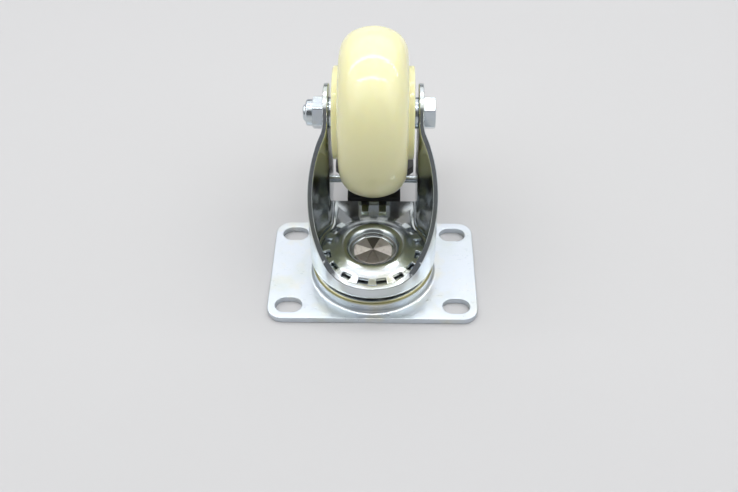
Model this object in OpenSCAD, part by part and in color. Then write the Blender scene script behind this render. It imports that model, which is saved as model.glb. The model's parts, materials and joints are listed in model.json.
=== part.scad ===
// Braked swivel castor with a nylon wheel, standing on its mounting plate.
// Origin: centre of the mounting face, on the swivel axis.
// +Z runs from the plate to the wheel, +Y to the trailing side, +X along the axle.

/* [Mounting plate] */
// Plate size across the castor
plate_w = 94; // [88:1:110]
// Plate size along the trail
plate_d = 62; // [59:1:80]
// Sheet thickness of the plate
plate_t = 3; // [2.5:0.1:3.5]
// Radius of the plate's corners
plate_corner_r = 7; // [3:0.5:10]
// Distance of a slot's middle from the plate's side
slot_inset_x = 9.5; // [8.5:0.5:11]
// Distance of a slot's middle from the plate's front or rear
slot_inset_y = 8; // [7:0.5:9]
// Overall length of a bolt slot
slot_len = 12; // [10:0.5:13]
// Width of a bolt slot
slot_w = 8.5; // [6.5:0.1:9]
// Radius of the drawn boss in the plate
boss_r = 27.6; // [26.5:0.1:28.4]
// Height of the boss top above the mounting face
boss_h = 9.4; // [9:0.1:10]
// Rounding of the boss at its top edge
boss_edge_r = 1.6; // [0.8:0.1:2]

/* [Swivel head] */
// Diameter of the balls between plate and fork
upper_ball_d = 5.5; // [5:0.1:5.8]
// Radius of the ball row between plate and fork
upper_row_r = 21; // [20.4:0.1:21.5]
// Number of balls between plate and fork
upper_ball_count = 18; // [12:1:18]
// Gap between the boss top and the fork floor
swivel_gap = 1.8; // [1.5:0.1:2.2]
// Diameter of the balls between fork and disc
lower_ball_d = 4; // [3.6:0.1:4.2]
// Radius of the ball row between fork and disc
lower_row_r = 13.6; // [13.4:0.1:14]
// Number of balls between fork and disc
lower_ball_count = 18; // [12:1:18]
// Depth of the lower balls in the fork floor
lower_ball_sink = 0.8; // [0.4:0.1:1]
// Running clearance of a ball in its race
ball_clear = 0.05; // [0.03:0.01:0.1]
// Radius of the kingpin's shank
kingpin_r = 6; // [5:0.1:6.5]
// Radius of the kingpin's peened head
peen_r = 8.8; // [8:0.1:9.2]
// Height of the peened head
peen_h = 1.7; // [1.2:0.1:2]

/* [Swivel lock disc] */
// Outer radius of the notched disc
disc_r = 23; // [22.5:0.1:24]
// Sheet thickness of the disc
disc_t = 1.5; // [1.2:0.1:1.8]
// Height of the disc's rim above the fork floor
disc_gap = 1.4; // [1.4:0.1:2]
// Depth of the dished centre below the rim
dish_depth = 2.3; // [2:0.1:2.6]
// Number of notches in the rim
notch_count = 16; // [12:4:16]
// Width of a notch
notch_w = 4.6; // [4.4:0.1:5]
// Radial depth of a notch
notch_depth = 3.6; // [3.2:0.1:3.8]

/* [Fork] */
// Sheet thickness of the fork
sheet = 2.2; // [1.9:0.1:2.5]
// Outer radius of the round cup at the swivel
cup_r = 28.3; // [27.8:0.1:30]
// Height of the cup's front lip above the floor underside
cup_h = 7.6; // [7:0.1:9]
// Outer radius of the bend between floor and walls
floor_bend_r = 3.2; // [2.8:0.1:4]
// Radius of the bend where the cup runs into the arms
arm_bend_r = 7; // [5:0.5:9]
// Radius of the ears round the axle
ear_r = 13; // [11:0.5:14]
// Radius of the curve from the front lip into the arms
lip_curve_r = 12; // [8:1:16]
// Slope of the arms' front edges
arm_slope = 50.8; // [48:0.2:53]
// Rear edge of the floor behind the swivel axis
floor_rear = 35.5; // [33:0.5:36]
// Radius of the arms round the brake pin
pin_lug_r = 8; // [7:0.5:9]

/* [Wheel] */
// Diameter of the wheel
wheel_d = 75; // [70:1:80]
// Width of the tread
tread_w = 30; // [26:1:32]
// Crown radius across the tread
crown_r = 20; // [18:1:26]
// Radius of the tread's shoulders
shoulder_r = 11; // [8:0.5:12]
// Diameter of the hub bosses
hub_d = 41; // [36:1:44]
// Width over the hub bosses
hub_w = 35.6; // [34:0.2:40]
// Rounding of a hub boss at its rim
hub_edge_r = 0.6; // [0.4:0.1:2]
// Distance of the axle behind the swivel axis
trail = 33; // [31:0.5:35]
// Gap between the mounting face and the wheel
wheel_rise = 30; // [29:0.5:33]

/* [Bearings and axle] */
// Outer diameter of a bearing
bearing_od = 22; // [20:0.5:24]
// Width of a bearing
bearing_w = 7; // [6:0.1:8]
// Depth of a bearing's face below the hub boss
bearing_inset = 0.3; // [0.1:0.1:0.6]
// Number of balls in a bearing
bearing_ball_count = 7; // [5:1:7]
// Diameter of the axle bolt
bolt_d = 8; // [7:0.5:8]
// Size of the bolt head and nut across flats
hex_af = 13; // [12:0.5:14]
// Thickness of the bolt head
head_h = 5.3; // [4.5:0.1:6]
// Height of the nut's hexagon
nut_hex_h = 5; // [4.5:0.1:6]
// Height of the nut's locking collar
nut_collar_h = 3; // [2.5:0.1:3.5]
// Bolt thread beyond the nut
bolt_over = 1.2; // [0.5:0.1:3]
// Gap between a hub boss and an arm
arm_gap = 1.9; // [1.6:0.1:2.5]

/* [Brake] */
// Diameter of the brake pin
pin_d = 3.6; // [3.2:0.1:4.4]
// Radius of the pedal's hub on the pin
pedal_hub_r = 4.5; // [4:0.1:5]
// Gap between the pedal's hub and the tread
pedal_gap = 0.8; // [0.5:0.1:1.2]
// Place of the pin below the axle, from straight down
pin_angle = 6.7; // [5:0.1:8]
// Travel of the pedal from off to on
brake_swing = 10; // [9:0.5:10.5]
// Thickness of the lock plate
lock_t = 2.4; // [2.2:0.1:2.6]
// Width of a locking tooth
tooth_w = 3.6; // [3:0.1:3.6]
// Width of the lock plate
lock_w = 15; // [13:0.5:18]
// Length of the pedal behind the pin
pedal_len = 46; // [42:1:52]
// Thickness of the pedal's deck
deck_t = 4; // [3.5:0.1:5]
// Upward slope of the pedal's deck
deck_slope = 8; // [6:0.5:9]
// Half width of the pedal's hub on the pin
pedal_hub_half = 12.4; // [11:0.1:14]
// Reach of the pedal's nose in front of the pin
nose_len = 11; // [8:0.5:12]
// Half width of the pedal behind the arms
pedal_half = 18.8; // [17:0.2:19]
// Half width of the pedal's foot end
foot_half = 16.5; // [14:0.5:17.5]
// Thickness of the brake shoe's sheet
shoe_t = 1.8; // [1.5:0.1:2]
// Width of the brake shoe
shoe_w = 16; // [12:1:20]
// Gap left between shoe and tread with the brake on
shoe_gap = 0.4; // [0.3:0.1:0.8]

/* [Hidden] */
$fn = 96;

zinc = "#c3c8cc";
bright_steel = "#b4b8bc";
cream_nylon = "#efecca";
black_nylon = "#1b1b1c";

// Small values that keep cuts through and curved faces from meeting edge on
eps = 0.5;
skew = 0.03;
fit = 0.02;
running = 0.05;

// Swivel stack, from the mounting face upwards
floor_z = boss_h + swivel_gap;
floor_top = floor_z + sheet;
upper_ball_z = boss_h + swivel_gap / 2;
upper_race_r = upper_ball_d / 2 + ball_clear;
lower_ball_z = floor_top + lower_ball_d / 2 - lower_ball_sink;
lower_race_r = lower_ball_d / 2 + ball_clear;
rim_z = floor_top + disc_gap;
rim_top = rim_z + disc_t;
dish_top = rim_top - dish_depth;
dish_z = dish_top - disc_t;
dish_wall_r = lower_row_r - lower_race_r;
dish_clear = 0.4;
fork_hole_r = dish_wall_r + dish_clear;
kingpin_flange_r = dish_wall_r - disc_t - 1;
kingpin_head_h = 2.6;
race_thinning = 0.8;
floor_thinning = 0.9;
peen_top = dish_top + peen_h;
lip_z = floor_z + cup_h;

// Wheel, arms and axle
wheel_r = wheel_d / 2;
axle_z = wheel_rise + wheel_r;
arm_in = hub_w / 2 + arm_gap;
arm_out = arm_in + sheet;
bearing_face = hub_w / 2 - bearing_inset;
bearing_back = bearing_face - bearing_w;
bore_r = bolt_d / 2 + running;
inner_ring_t = 2;
outer_ring_t = 1.4;
groove_depth = 0.2;
race_in_r = bore_r + inner_ring_t;
race_out_r = bearing_od / 2 - outer_ring_t;
race_mid_r = (race_in_r + race_out_r) / 2;
bearing_ball_d = race_out_r - race_in_r + 2 * groove_depth;
sleeve_t = 1.85;
sleeve_r = bore_r + sleeve_t;
collar_r = bore_r + sleeve_t + 1.1;
nut_shoulder = arm_out + nut_hex_h;
nut_end = nut_shoulder + nut_collar_h;
bolt_end = nut_end + bolt_over;
nut_collar_r = hex_af / 2 - 0.6;
nut_wall = 0.9;
nut_roof = 0.6;
insert_r = nut_collar_r - nut_wall;
insert_top = nut_end - nut_roof;
insert_foot = nut_shoulder - 0.5;

// Brake: pin, pedal and shoe in the side view, as [y, z]
function turn(p, a) = [p[0] * cos(a) - p[1] * sin(a), p[0] * sin(a) + p[1] * cos(a)];
pin_reach = wheel_r + pedal_gap + pedal_hub_r;
pin = [trail, axle_z] + turn([0, -pin_reach], pin_angle);
pin_hole_r = pin_d / 2 + running;
pin_head_over = 1.6;
pin_head_r = pin_d / 2 + pin_head_over;
pin_head_h = 1.3;
pin_head_edge = 0.45 * pin_head_h;
lock_z = pin[1] - pedal_hub_r - lock_t;
notch_pitch = 360 / notch_count;
notch_floor_r = disc_r - notch_depth;
tooth_x = (disc_r - notch_depth / 2) * sin(notch_pitch / 2);
tooth_clear = 2.2;
tooth_reach_on = notch_floor_r * cos(notch_pitch / 2) + tooth_clear;
tooth_lever = (pin[0] - tooth_reach_on + (pin[1] - lock_z) * sin(brake_swing)) / cos(brake_swing);
tooth_y = pin[0] - tooth_lever;
tooth_len = 7;
shoe_bearing = -62;
shoe_on = [trail, axle_z] + (wheel_r + shoe_gap) * [cos(shoe_bearing), sin(shoe_bearing)];
shoe_off = pin + turn(shoe_on - pin, -brake_swing);
shoe_slope = shoe_bearing + 90 - brake_swing;
deck_dir = [cos(deck_slope), sin(deck_slope)];
deck_up = [-sin(deck_slope), cos(deck_slope)];
rivet_back = [7.7, 23.8];
lock_end = 3.6;
lock_back = rivet_back[1] + lock_end;
hub_sag = pedal_hub_r * (1 - cos(deck_slope));
shoe_seat = deck_t + fit;
rivet_r = 1.3;
rivet_head_r = 2.2;
rivet_head_h = 1.1;
rivet_head_edge = 0.45 * rivet_head_h;

// Points of the pedal's deck: distance back along the deck and height above its underside
function deck(back, up) = pin - [0, pedal_hub_r] + back * deck_dir + up * deck_up;

// Offsets of an open path to its left, mitred at the corners
function unit(v) = v / norm(v);
function left(v) = [-v[1], v[0]];
function side(p, i) = left(unit(p[min(i + 1, len(p) - 1)] - p[min(i, len(p) - 2)]));
function before(p, i) = side(p, max(i - 1, 0));
function mitre(p, i) = (side(p, i) + before(p, i)) / (1 + side(p, i) * before(p, i));
function beside(p, t) = [for (i = [len(p) - 1:-1:0]) p[i] + t * mitre(p, i)];

// A bent sheet in section: a path and its offset
module bent_section(path, t) {
    polygon(concat(path, beside(path, t)));
}

// A side view in [y, z], made as thick as asked along the axle
module across(width) {
    rotate([90, 0, 90])
        linear_extrude(width, center = true)
            children();
}

// A turned form about an axis along the axle, its profile in [radius, x]
module turned_on_axle() {
    translate([0, trail, axle_z])
        rotate([0, 90, 0])
            rotate_extrude()
                children();
}

// A ring profile between two radii and two heights
module ring_profile(r0, r1, z0, z1) {
    translate([r0, z0])
        square([r1 - r0, z1 - z0]);
}

// A rectangle with one rounded corner at its far upper end
module round_top_profile(r, z0, z1, edge_r) {
    ring_profile(0, r, z0, z1 - edge_r);
    ring_profile(0, r - edge_r, z0, z1);
    translate([r - edge_r, z1 - edge_r])
        circle(edge_r);
}

// How far the hexagons of bolt head and nut came to rest turned
head_turned = -43;
nut_turned = -50;

// A hexagon of the bolt's size, turned about the axle
module hexagon(turned) {
    rotate(turned)
        circle(hex_af / 2 / cos(30), $fn = 6);
}

module slot_outline() {
    half_run = (slot_len - slot_w) / 2;
    square([2 * half_run, slot_w], center = true);
    for (end = [-1, 1])
        translate([end * half_run, 0])
            circle(slot_w / 2);
}

module plate_outline() {
    cx = plate_w / 2 - plate_corner_r;
    cy = plate_d / 2 - plate_corner_r;
    square([2 * cx, plate_d], center = true);
    square([plate_w, 2 * cy], center = true);
    for (sx = [-1, 1], sy = [-1, 1])
        translate([sx * cx, sy * cy])
            circle(plate_corner_r);
}

// Outside of the drawn boss, with the small curve at its foot
module boss_outside() {
    foot_r = 1.5;
    round_top_profile(boss_r, 0, boss_h, boss_edge_r);
    difference() {
        ring_profile(boss_r - 1, boss_r + foot_r, plate_t - eps, plate_t + foot_r - skew);
        translate([boss_r + foot_r + skew, plate_t + foot_r - skew])
            circle(foot_r);
    }
}

// Hollow of the boss on the mounting face, pressed in under the ball race
module boss_inside() {
    difference() {
        ring_profile(0, boss_r - plate_t, -eps, boss_h - plate_t);
        translate([upper_row_r, upper_ball_z])
            circle(upper_race_r + plate_t - race_thinning);
    }
}

module top_plate() {
    color(zinc)
    difference() {
        union() {
            linear_extrude(plate_t)
                plate_outline();
            rotate_extrude()
                boss_outside();
        }
        rotate_extrude()
            boss_inside();
        rotate_extrude()
            translate([upper_row_r, upper_ball_z])
                circle(upper_race_r);
        cylinder(r = kingpin_r + fit, h = boss_h + eps);
        for (sx = [-1, 1], sy = [-1, 1])
            translate([sx * (plate_w / 2 - slot_inset_x), sy * (plate_d / 2 - slot_inset_y), -eps])
                linear_extrude(plate_t + 2 * eps)
                    slot_outline();
    }
}

// Turned pin: rivet head in the boss, shoulder under the disc, peened head above it
module kingpin_profile() {
    ring_profile(0, kingpin_r, boss_h - plate_t - kingpin_head_h, dish_top + eps);
    ring_profile(0, kingpin_flange_r, boss_h - plate_t - kingpin_head_h, boss_h - plate_t);
    ring_profile(0, kingpin_flange_r, boss_h, dish_z);
    round_top_profile(peen_r, dish_top, peen_top, 0.5);
}

module kingpin() {
    petals = 8;
    groove = 2.6;
    color(bright_steel)
    difference() {
        rotate_extrude()
            kingpin_profile();
        for (i = [0:petals - 1])
            rotate(360 / petals * (i + 0.5))
                translate([0, 0, peen_top + 0.35])
                    rotate([0, -6, 0])
                        rotate([45, 0, 0])
                            translate([0, -groove / 2, -groove / 2])
                                cube([peen_r - 1.2, groove, groove]);
    }
}

// Dished disc: flat rim, raised ring with a sloping foot, sunk centre under the peened head
module disc_profile() {
    ring_slope = 12;
    foot_slope = 22;
    knee_over = 3.4;
    touch = [lower_row_r, lower_ball_z]
        + (lower_race_r + disc_t - skew) * [sin(ring_slope), cos(ring_slope)];
    knee_run = lower_row_r + knee_over - touch[0];
    knee = touch + knee_run * [1, -tan(ring_slope)];
    foot = [knee[0] + (knee[1] - rim_top) / tan(foot_slope), rim_top];
    difference() {
        union() {
            ring_profile(lower_row_r, disc_r, rim_z, rim_top);
            polygon([[lower_row_r, rim_z + eps], foot, knee, touch]);
            translate([lower_row_r, lower_ball_z])
                circle(lower_race_r + disc_t);
            ring_profile(dish_wall_r - disc_t, dish_wall_r, dish_z, lower_ball_z);
            ring_profile(kingpin_r + fit, dish_wall_r, dish_z, dish_top);
        }
        translate([lower_row_r, lower_ball_z])
            circle(lower_race_r);
        ring_profile(dish_wall_r, lower_row_r + 2 * lower_ball_d, 0, lower_ball_z);
        ring_profile(0, dish_wall_r, 0, dish_z);
        ring_profile(0, dish_wall_r - disc_t, dish_top, lower_ball_z);
    }
}

module lock_disc() {
    color(zinc)
    difference() {
        rotate_extrude()
            disc_profile();
        for (i = [0:notch_count - 1])
            rotate(90 + (i + 0.5) * notch_pitch)
                translate([notch_floor_r, -notch_w / 2, rim_z - eps])
                    cube([notch_depth + eps, notch_w, 2 * disc_t + 2 * eps]);
    }
}

// A row of balls round the swivel axis
module ball_row(count, row_r, ball_d) {
    for (i = [0:count - 1])
        rotate(360 / count * i)
            translate([row_r, 0, 0])
                sphere(d = ball_d);
}

module upper_balls() {
    color(bright_steel)
        translate([0, 0, upper_ball_z])
            ball_row(upper_ball_count, upper_row_r, upper_ball_d);
}

module lower_balls() {
    color(bright_steel)
        translate([0, 0, lower_ball_z])
            ball_row(lower_ball_count, lower_row_r, lower_ball_d);
}

// Fork pressing: a round cup that runs into a straight channel.
// The blank is drawn once for the outside and once, set in by the sheet, for the hollow.
blank_top = axle_z + ear_r + 1;
blank_rear = pin[0] + pin_lug_r + 1;

module cup_blank(inset, base) {
    r = cup_r - inset;
    bend = floor_bend_r - inset;
    translate([0, 0, base])
        rotate_extrude() {
            ring_profile(0, r, bend, blank_top - base);
            ring_profile(0, r - bend, 0, blank_top - base);
            translate([r - bend, bend])
                circle(bend);
        }
}

module channel_blank(inset, base) {
    half = arm_out - inset;
    bend = floor_bend_r - inset;
    translate([0, (blank_rear + inset) / 2, 0])
        rotate([90, 0, 0])
            linear_extrude(blank_rear + inset, center = true) {
                translate([-half, base + bend])
                    square([2 * half, blank_top - base - bend]);
                translate([-half + bend, base])
                    square([2 * (half - bend), blank_top - base]);
                for (sx = [-1, 1])
                    translate([sx * (half - bend), base + bend])
                        circle(bend);
            }
}

// The bend between cup and channel, as the corner left inside a round cut
module corner_blank(inset, base) {
    bend_x = arm_out + arm_bend_r;
    bend_y = sqrt(pow(cup_r + arm_bend_r, 2) - pow(bend_x, 2));
    on_cup = [bend_x, bend_y] * (cup_r - inset) / (cup_r + arm_bend_r);
    on_arm = [arm_out - inset, bend_y];
    deep = 0.9;
    for (sx = [0, 1])
        mirror([sx, 0, 0])
            translate([0, 0, base + floor_bend_r])
                linear_extrude(blank_top - base - floor_bend_r)
                    difference() {
                        polygon([on_cup * deep, on_cup * (1 + skew / cup_r), [bend_x, bend_y], on_arm,
                            on_arm - [2, 0]]);
                        translate([bend_x, bend_y])
                            circle(arm_bend_r + inset + skew);
                    }
}

module fork_blank(inset, base) {
    cup_blank(inset, base);
    channel_blank(inset, base);
    corner_blank(inset, base);
}

// Side view of the fork: cup band, sloping front edge, round ears and pin lugs
ear = [trail, axle_z];
ear_touch = ear + (ear_r - skew) * [-sin(arm_slope), cos(arm_slope)];
slope_dir = [cos(arm_slope), sin(arm_slope)];
lip_corner = ear_touch - slope_dir * (ear_touch[1] - lip_z) / slope_dir[1];
lip_tangent = lip_curve_r * tan(arm_slope / 2);
back_run = norm(pin - ear);
back_turn = atan2(pin[1] - ear[1], pin[0] - ear[0]) + acos((ear_r - pin_lug_r) / back_run);
back_dir = [cos(back_turn), sin(back_turn)];

module fork_side() {
    front = -cup_r - 2;
    polygon([[front, floor_z - 1], [floor_rear, floor_z - 1], [floor_rear, pin[1] - pin_lug_r + 1],
        pin, pin + (pin_lug_r - skew) * back_dir, ear + (ear_r - skew) * back_dir, ear, ear_touch,
        lip_corner, [front, lip_z]]);
    translate(ear)
        circle(ear_r);
    translate(pin)
        circle(pin_lug_r);
    difference() {
        polygon([lip_corner - [lip_tangent, skew], lip_corner - [0, 1],
            lip_corner + (lip_tangent + skew) * slope_dir, lip_corner + [-lip_tangent, lip_curve_r]]);
        translate(lip_corner + [-lip_tangent, lip_curve_r])
            circle(lip_curve_r - skew);
    }
}

module fork() {
    color(zinc)
    difference() {
        intersection() {
            difference() {
                union() {
                    fork_blank(0, floor_z);
                    rotate_extrude()
                        intersection() {
                            translate([upper_row_r, upper_ball_z])
                                circle(upper_race_r + sheet - floor_thinning);
                            ring_profile(fork_hole_r, cup_r - sheet, floor_z, rim_z);
                        }
                }
                difference() {
                    fork_blank(sheet, floor_top);
                    rotate_extrude()
                        translate([upper_row_r, upper_ball_z])
                            circle(upper_race_r + sheet - floor_thinning);
                }
            }
            across(4 * cup_r)
                fork_side();
        }
        rotate_extrude()
            translate([upper_row_r, upper_ball_z])
                circle(upper_race_r);
        rotate_extrude()
            translate([lower_row_r, lower_ball_z])
                circle(lower_race_r);
        cylinder(r = fork_hole_r, h = rim_z);
        translate([0, trail, axle_z])
            rotate([0, 90, 0])
                cylinder(r = bore_r, h = 4 * cup_r, center = true);
        translate([0, pin[0], pin[1]])
            rotate([0, 90, 0])
                cylinder(r = pin_d / 2 + fit, h = 4 * cup_r, center = true);
    }
}

// Bolt head on the right, nut on the left
module axle_bolt() {
    chamfer = 0.8;
    head_end = arm_out + head_h;
    cone_r = hex_af / 2 + 0.9;
    face_r = hex_af / 2 - 0.4;
    color(zinc) {
        turned_on_axle()
            difference() {
                ring_profile(0, bolt_d / 2, -bolt_end, arm_out + eps);
                polygon([[bolt_d / 2 - chamfer, -bolt_end - fit], [bolt_d / 2 + 1, -bolt_end - fit],
                    [bolt_d / 2 + 1, -bolt_end + chamfer + 1]]);
            }
        intersection() {
            translate([arm_out, trail, axle_z])
                rotate([90, 0, 90])
                    linear_extrude(head_h)
                        hexagon(head_turned);
            turned_on_axle()
                polygon([[0, arm_out - 1], [hex_af, arm_out - 1], [cone_r, head_end - 0.5],
                    [face_r, head_end + fit], [0, head_end + fit]]);
        }
    }
}

module axle_nut() {
    cone_r = hex_af / 2 - 0.2;
    cone_rise = 3.2;
    color(zinc)
    difference() {
        union() {
            intersection() {
                translate([-nut_shoulder, trail, axle_z])
                    rotate([90, 0, 90])
                        linear_extrude(nut_hex_h)
                            hexagon(nut_turned);
                turned_on_axle()
                    polygon([[0, -nut_shoulder - fit], [cone_r, -nut_shoulder - fit],
                        [hex_af, -nut_shoulder + cone_rise], [hex_af, 0], [0, 0]]);
            }
            turned_on_axle()
                mirror([0, 1])
                    round_top_profile(nut_collar_r, nut_shoulder - 1, nut_end, 1);
        }
        turned_on_axle()
            ring_profile(0, bore_r, -bolt_end - eps, 0);
        turned_on_axle()
            ring_profile(0, insert_r, -insert_top, -insert_foot);
    }
}

module nut_insert() {
    color(black_nylon)
        turned_on_axle()
            ring_profile(bore_r, insert_r - fit, -insert_top + fit, -insert_foot - fit);
}

module axle_sleeve() {
    color(zinc)
        turned_on_axle()
            ring_profile(bore_r, sleeve_r, -bearing_back, bearing_back);
}

// Collar between a bearing's inner ring and an arm, with a nose that clears the shield
module collar(sx) {
    nose = 0.5;
    color(zinc)
        turned_on_axle()
            scale([1, sx]) {
                ring_profile(bore_r, collar_r, bearing_face + nose, arm_in);
                ring_profile(bore_r, sleeve_r, bearing_face, bearing_face + 2 * nose);
            }
}

module collar_left() {
    collar(-1);
}

module collar_right() {
    collar(1);
}

// Deep groove bearing: rings, balls, cage and shields, on the side that sx gives
bearing_mid = (bearing_face + bearing_back) / 2;

module bearing_ring(sx, r0, r1) {
    color(bright_steel)
        turned_on_axle()
            scale([1, sx])
                difference() {
                    ring_profile(r0, r1, bearing_back, bearing_face);
                    translate([race_mid_r, bearing_mid])
                        circle(d = bearing_ball_d + 2 * ball_clear);
                }
}

module bearing_ball_row(sx, ball_d) {
    translate([sx * bearing_mid, trail, axle_z])
        rotate([0, 90, 0])
            ball_row(bearing_ball_count, race_mid_r, ball_d);
}

module bearing_balls(sx) {
    color(bright_steel)
        bearing_ball_row(sx, bearing_ball_d);
}

// Cage band with a round pocket for each ball
module bearing_cage(sx) {
    band = 0.6;
    pocket_r = bearing_ball_d / 2 + 2 * ball_clear;
    cage_half = pocket_r + 0.4;
    color(bright_steel)
    difference() {
        turned_on_axle()
            scale([1, sx])
                ring_profile(race_mid_r - band, race_mid_r + band, bearing_mid - cage_half,
                    bearing_mid + cage_half);
        translate([sx * bearing_mid, trail, axle_z])
            rotate([0, 90, 0])
                for (i = [0:bearing_ball_count - 1])
                    rotate([0, 90, 360 / bearing_ball_count * i])
                        cylinder(r = pocket_r, h = bearing_od);
    }
}

module bearing_shields(sx) {
    shield_t = 0.3;
    color(zinc)
        turned_on_axle()
            scale([1, sx])
                for (x = [bearing_back + shield_t, bearing_face - 2 * shield_t])
                    ring_profile(race_in_r + 0.3, race_out_r - fit, x, x + shield_t);
}

module bearing_inner_left() {
    bearing_ring(-1, bore_r, race_in_r);
}

module bearing_inner_right() {
    bearing_ring(1, bore_r, race_in_r);
}

module bearing_outer_left() {
    bearing_ring(-1, race_out_r, bearing_od / 2);
}

module bearing_outer_right() {
    bearing_ring(1, race_out_r, bearing_od / 2);
}

module bearing_balls_left() {
    bearing_balls(-1);
}

module bearing_balls_right() {
    bearing_balls(1);
}

module bearing_cage_left() {
    bearing_cage(-1);
}

module bearing_cage_right() {
    bearing_cage(1);
}

module bearing_shields_left() {
    bearing_shields(-1);
}

module bearing_shields_right() {
    bearing_shields(1);
}

// Right half of the wheel's section: crown, shoulder, flat side, hub boss and its recesses
module wheel_half_section() {
    half = tread_w / 2;
    shoulder_x = half - shoulder_r;
    crown_z = wheel_r - crown_r;
    shoulder_z = crown_z + sqrt(pow(crown_r - shoulder_r, 2) - pow(shoulder_x, 2));
    reach = crown_r / (crown_r - shoulder_r);
    touch = [crown_z + (shoulder_z - crown_z) * reach, shoulder_x * reach];
    intersection() {
        translate([crown_z, 0])
            circle(crown_r, $fn = 200);
        polygon([[0, 0], [wheel_r + 1, 0], [wheel_r + 1, touch[1]], touch, [shoulder_z, shoulder_x],
            [0, shoulder_x]]);
    }
    intersection() {
        translate([shoulder_z, shoulder_x])
            circle(shoulder_r - skew / 10);
        square([wheel_r, half]);
    }
    square([shoulder_z, half]);
    round_top_profile(hub_d / 2, 0, hub_w / 2, hub_edge_r);
}

module wheel() {
    seat_wall = 2.5;
    hub_wall = 3;
    web_inner_r = bearing_od / 2 + seat_wall;
    web_outer_r = hub_d / 2 - hub_wall;
    web_depth = 3;
    color(cream_nylon)
        turned_on_axle()
            for (sx = [-1, 1])
                scale([1, sx])
                    difference() {
                        wheel_half_section();
                        ring_profile(0, sleeve_r + 1, -eps, hub_w);
                        ring_profile(0, bearing_od / 2 + fit, bearing_back, hub_w);
                        ring_profile(web_inner_r, web_outer_r, hub_w / 2 - web_depth, hub_w);
                    }
}

// Cross pin with a domed head on the outside of each arm
module brake_pin() {
    color(zinc)
        translate([0, pin[0], pin[1]])
            rotate([0, 90, 0])
                rotate_extrude()
                    for (sx = [-1, 1])
                        scale([1, sx]) {
                            ring_profile(0, pin_d / 2, 0, arm_out + eps);
                            round_top_profile(pin_head_r, arm_out, arm_out + pin_head_h, pin_head_edge);
                        }
}

// Pedal in side view: nose over the lock plate, hub on the pin, deck and a bead at the foot end
module pedal_side() {
    bead_r = 3;
    bead_back = pedal_len - bead_r;
    nose_t = 2.4;
    nose_low = pin - [nose_len, pedal_hub_r];
    translate(pin)
        circle(pedal_hub_r);
    polygon([nose_low, pin - [0, pedal_hub_r], pin, nose_low + [0, nose_t]]);
    polygon([deck(0, 0), deck(bead_back, 0), deck(bead_back, deck_t), deck(3, deck_t), pin]);
    translate(deck(bead_back, deck_t - bead_r + skew))
        circle(bead_r);
}

// Pedal in plan: narrow hub, full width behind the arms, drawn in to a round foot end
module pedal_plan() {
    corner = 6;
    rear = pin[0] + pedal_len;
    lug_rear = pin[0] + pin_lug_r;
    flare = 5;
    square_half = foot_half - corner;
    polygon([[-pedal_hub_half, 0], [pedal_hub_half, 0], [pedal_hub_half, lug_rear - flare],
        [pedal_half, lug_rear + 1], [pedal_half, lug_rear + flare], [foot_half, lug_rear + 3 * flare],
        [foot_half, rear - corner], [-foot_half, rear - corner], [-foot_half, lug_rear + 3 * flare],
        [-pedal_half, lug_rear + flare], [-pedal_half, lug_rear + 1], [-pedal_hub_half, lug_rear - flare]]);
    translate([-square_half, rear - corner - eps])
        square([2 * square_half, corner + 2 * eps]);
    for (sx = [-1, 1])
        translate([sx * square_half, rear - corner])
            circle(corner);
}

// Ribs across the deck's foot face, which give the shoe sole a grip
module pedal_grips() {
    grip_pitch = 3.4;
    grip_r = 0.8;
    grip_side = 4;
    grip_end = 7;
    grip_half = foot_half - grip_side;
    grip_rear = pedal_len - grip_end;
    for (back = [grip_rear:-grip_pitch:lock_back + 2 * grip_r])
        across(2 * grip_half)
            translate(deck(back, 0))
                circle(grip_r);
}

module brake_pedal() {
    rib_half = 1;
    pocket_floor = 1.6;
    pocket_front = 27;
    pocket_end = 6;
    pocket_side = 4;
    pocket_rear = pedal_len - pocket_end;
    color(black_nylon)
    difference() {
        union() {
            intersection() {
                across(4 * pedal_half)
                    pedal_side();
                linear_extrude(axle_z)
                    pedal_plan();
            }
            pedal_grips();
        }
        for (sx = [-1, 1])
            translate([sx * (foot_half / 2 + rib_half / 2), 0, 0])
                across(foot_half - pocket_side - rib_half)
                    polygon([deck(pocket_front, pocket_floor), deck(pocket_rear, pocket_floor),
                        deck(pocket_rear, deck_t + 1), deck(pocket_front, deck_t + 1)]);
        translate([0, pin[0], pin[1]])
            rotate([0, 90, 0])
                cylinder(r = pin_hole_r, h = 4 * pedal_half, center = true);
        brake_rivet_shanks(rivet_r + fit);
    }
}

// Two rivets through lock plate, deck and shoe
module brake_rivet_shanks(r) {
    for (i = [0, 1])
        translate([0, deck(rivet_back[i], 0)[0], deck(rivet_back[i], 0)[1]])
            rotate([deck_slope, 0, 0])
                translate([0, 0, -2 * lock_t])
                    cylinder(r = r, h = deck_t + 4 * lock_t);
}

// Lock plate: lies under the deck, bends level below the hub and ends in two teeth
module lock_plate() {
    bend_y = pin[0] + lock_t * tan(deck_slope / 2);
    path = [[tooth_y, lock_z], [bend_y, lock_z], deck(lock_back, -lock_t)];
    cut = [tooth_y + tooth_len, lock_z + 2 * lock_t];
    color(zinc)
    difference() {
        across(lock_w)
            bent_section(path, lock_t - hub_sag - fit);
        translate([-tooth_x + tooth_w / 2, 0, 0])
            cube([2 * tooth_x - tooth_w, cut[0], cut[1]]);
        for (sx = [-1, 1])
            translate([sx * (tooth_x + lock_w) - lock_w + sx * tooth_w / 2, 0, 0])
                cube([2 * lock_w, cut[0], cut[1]]);
        brake_rivet_shanks(rivet_r + fit);
    }
}

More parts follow.
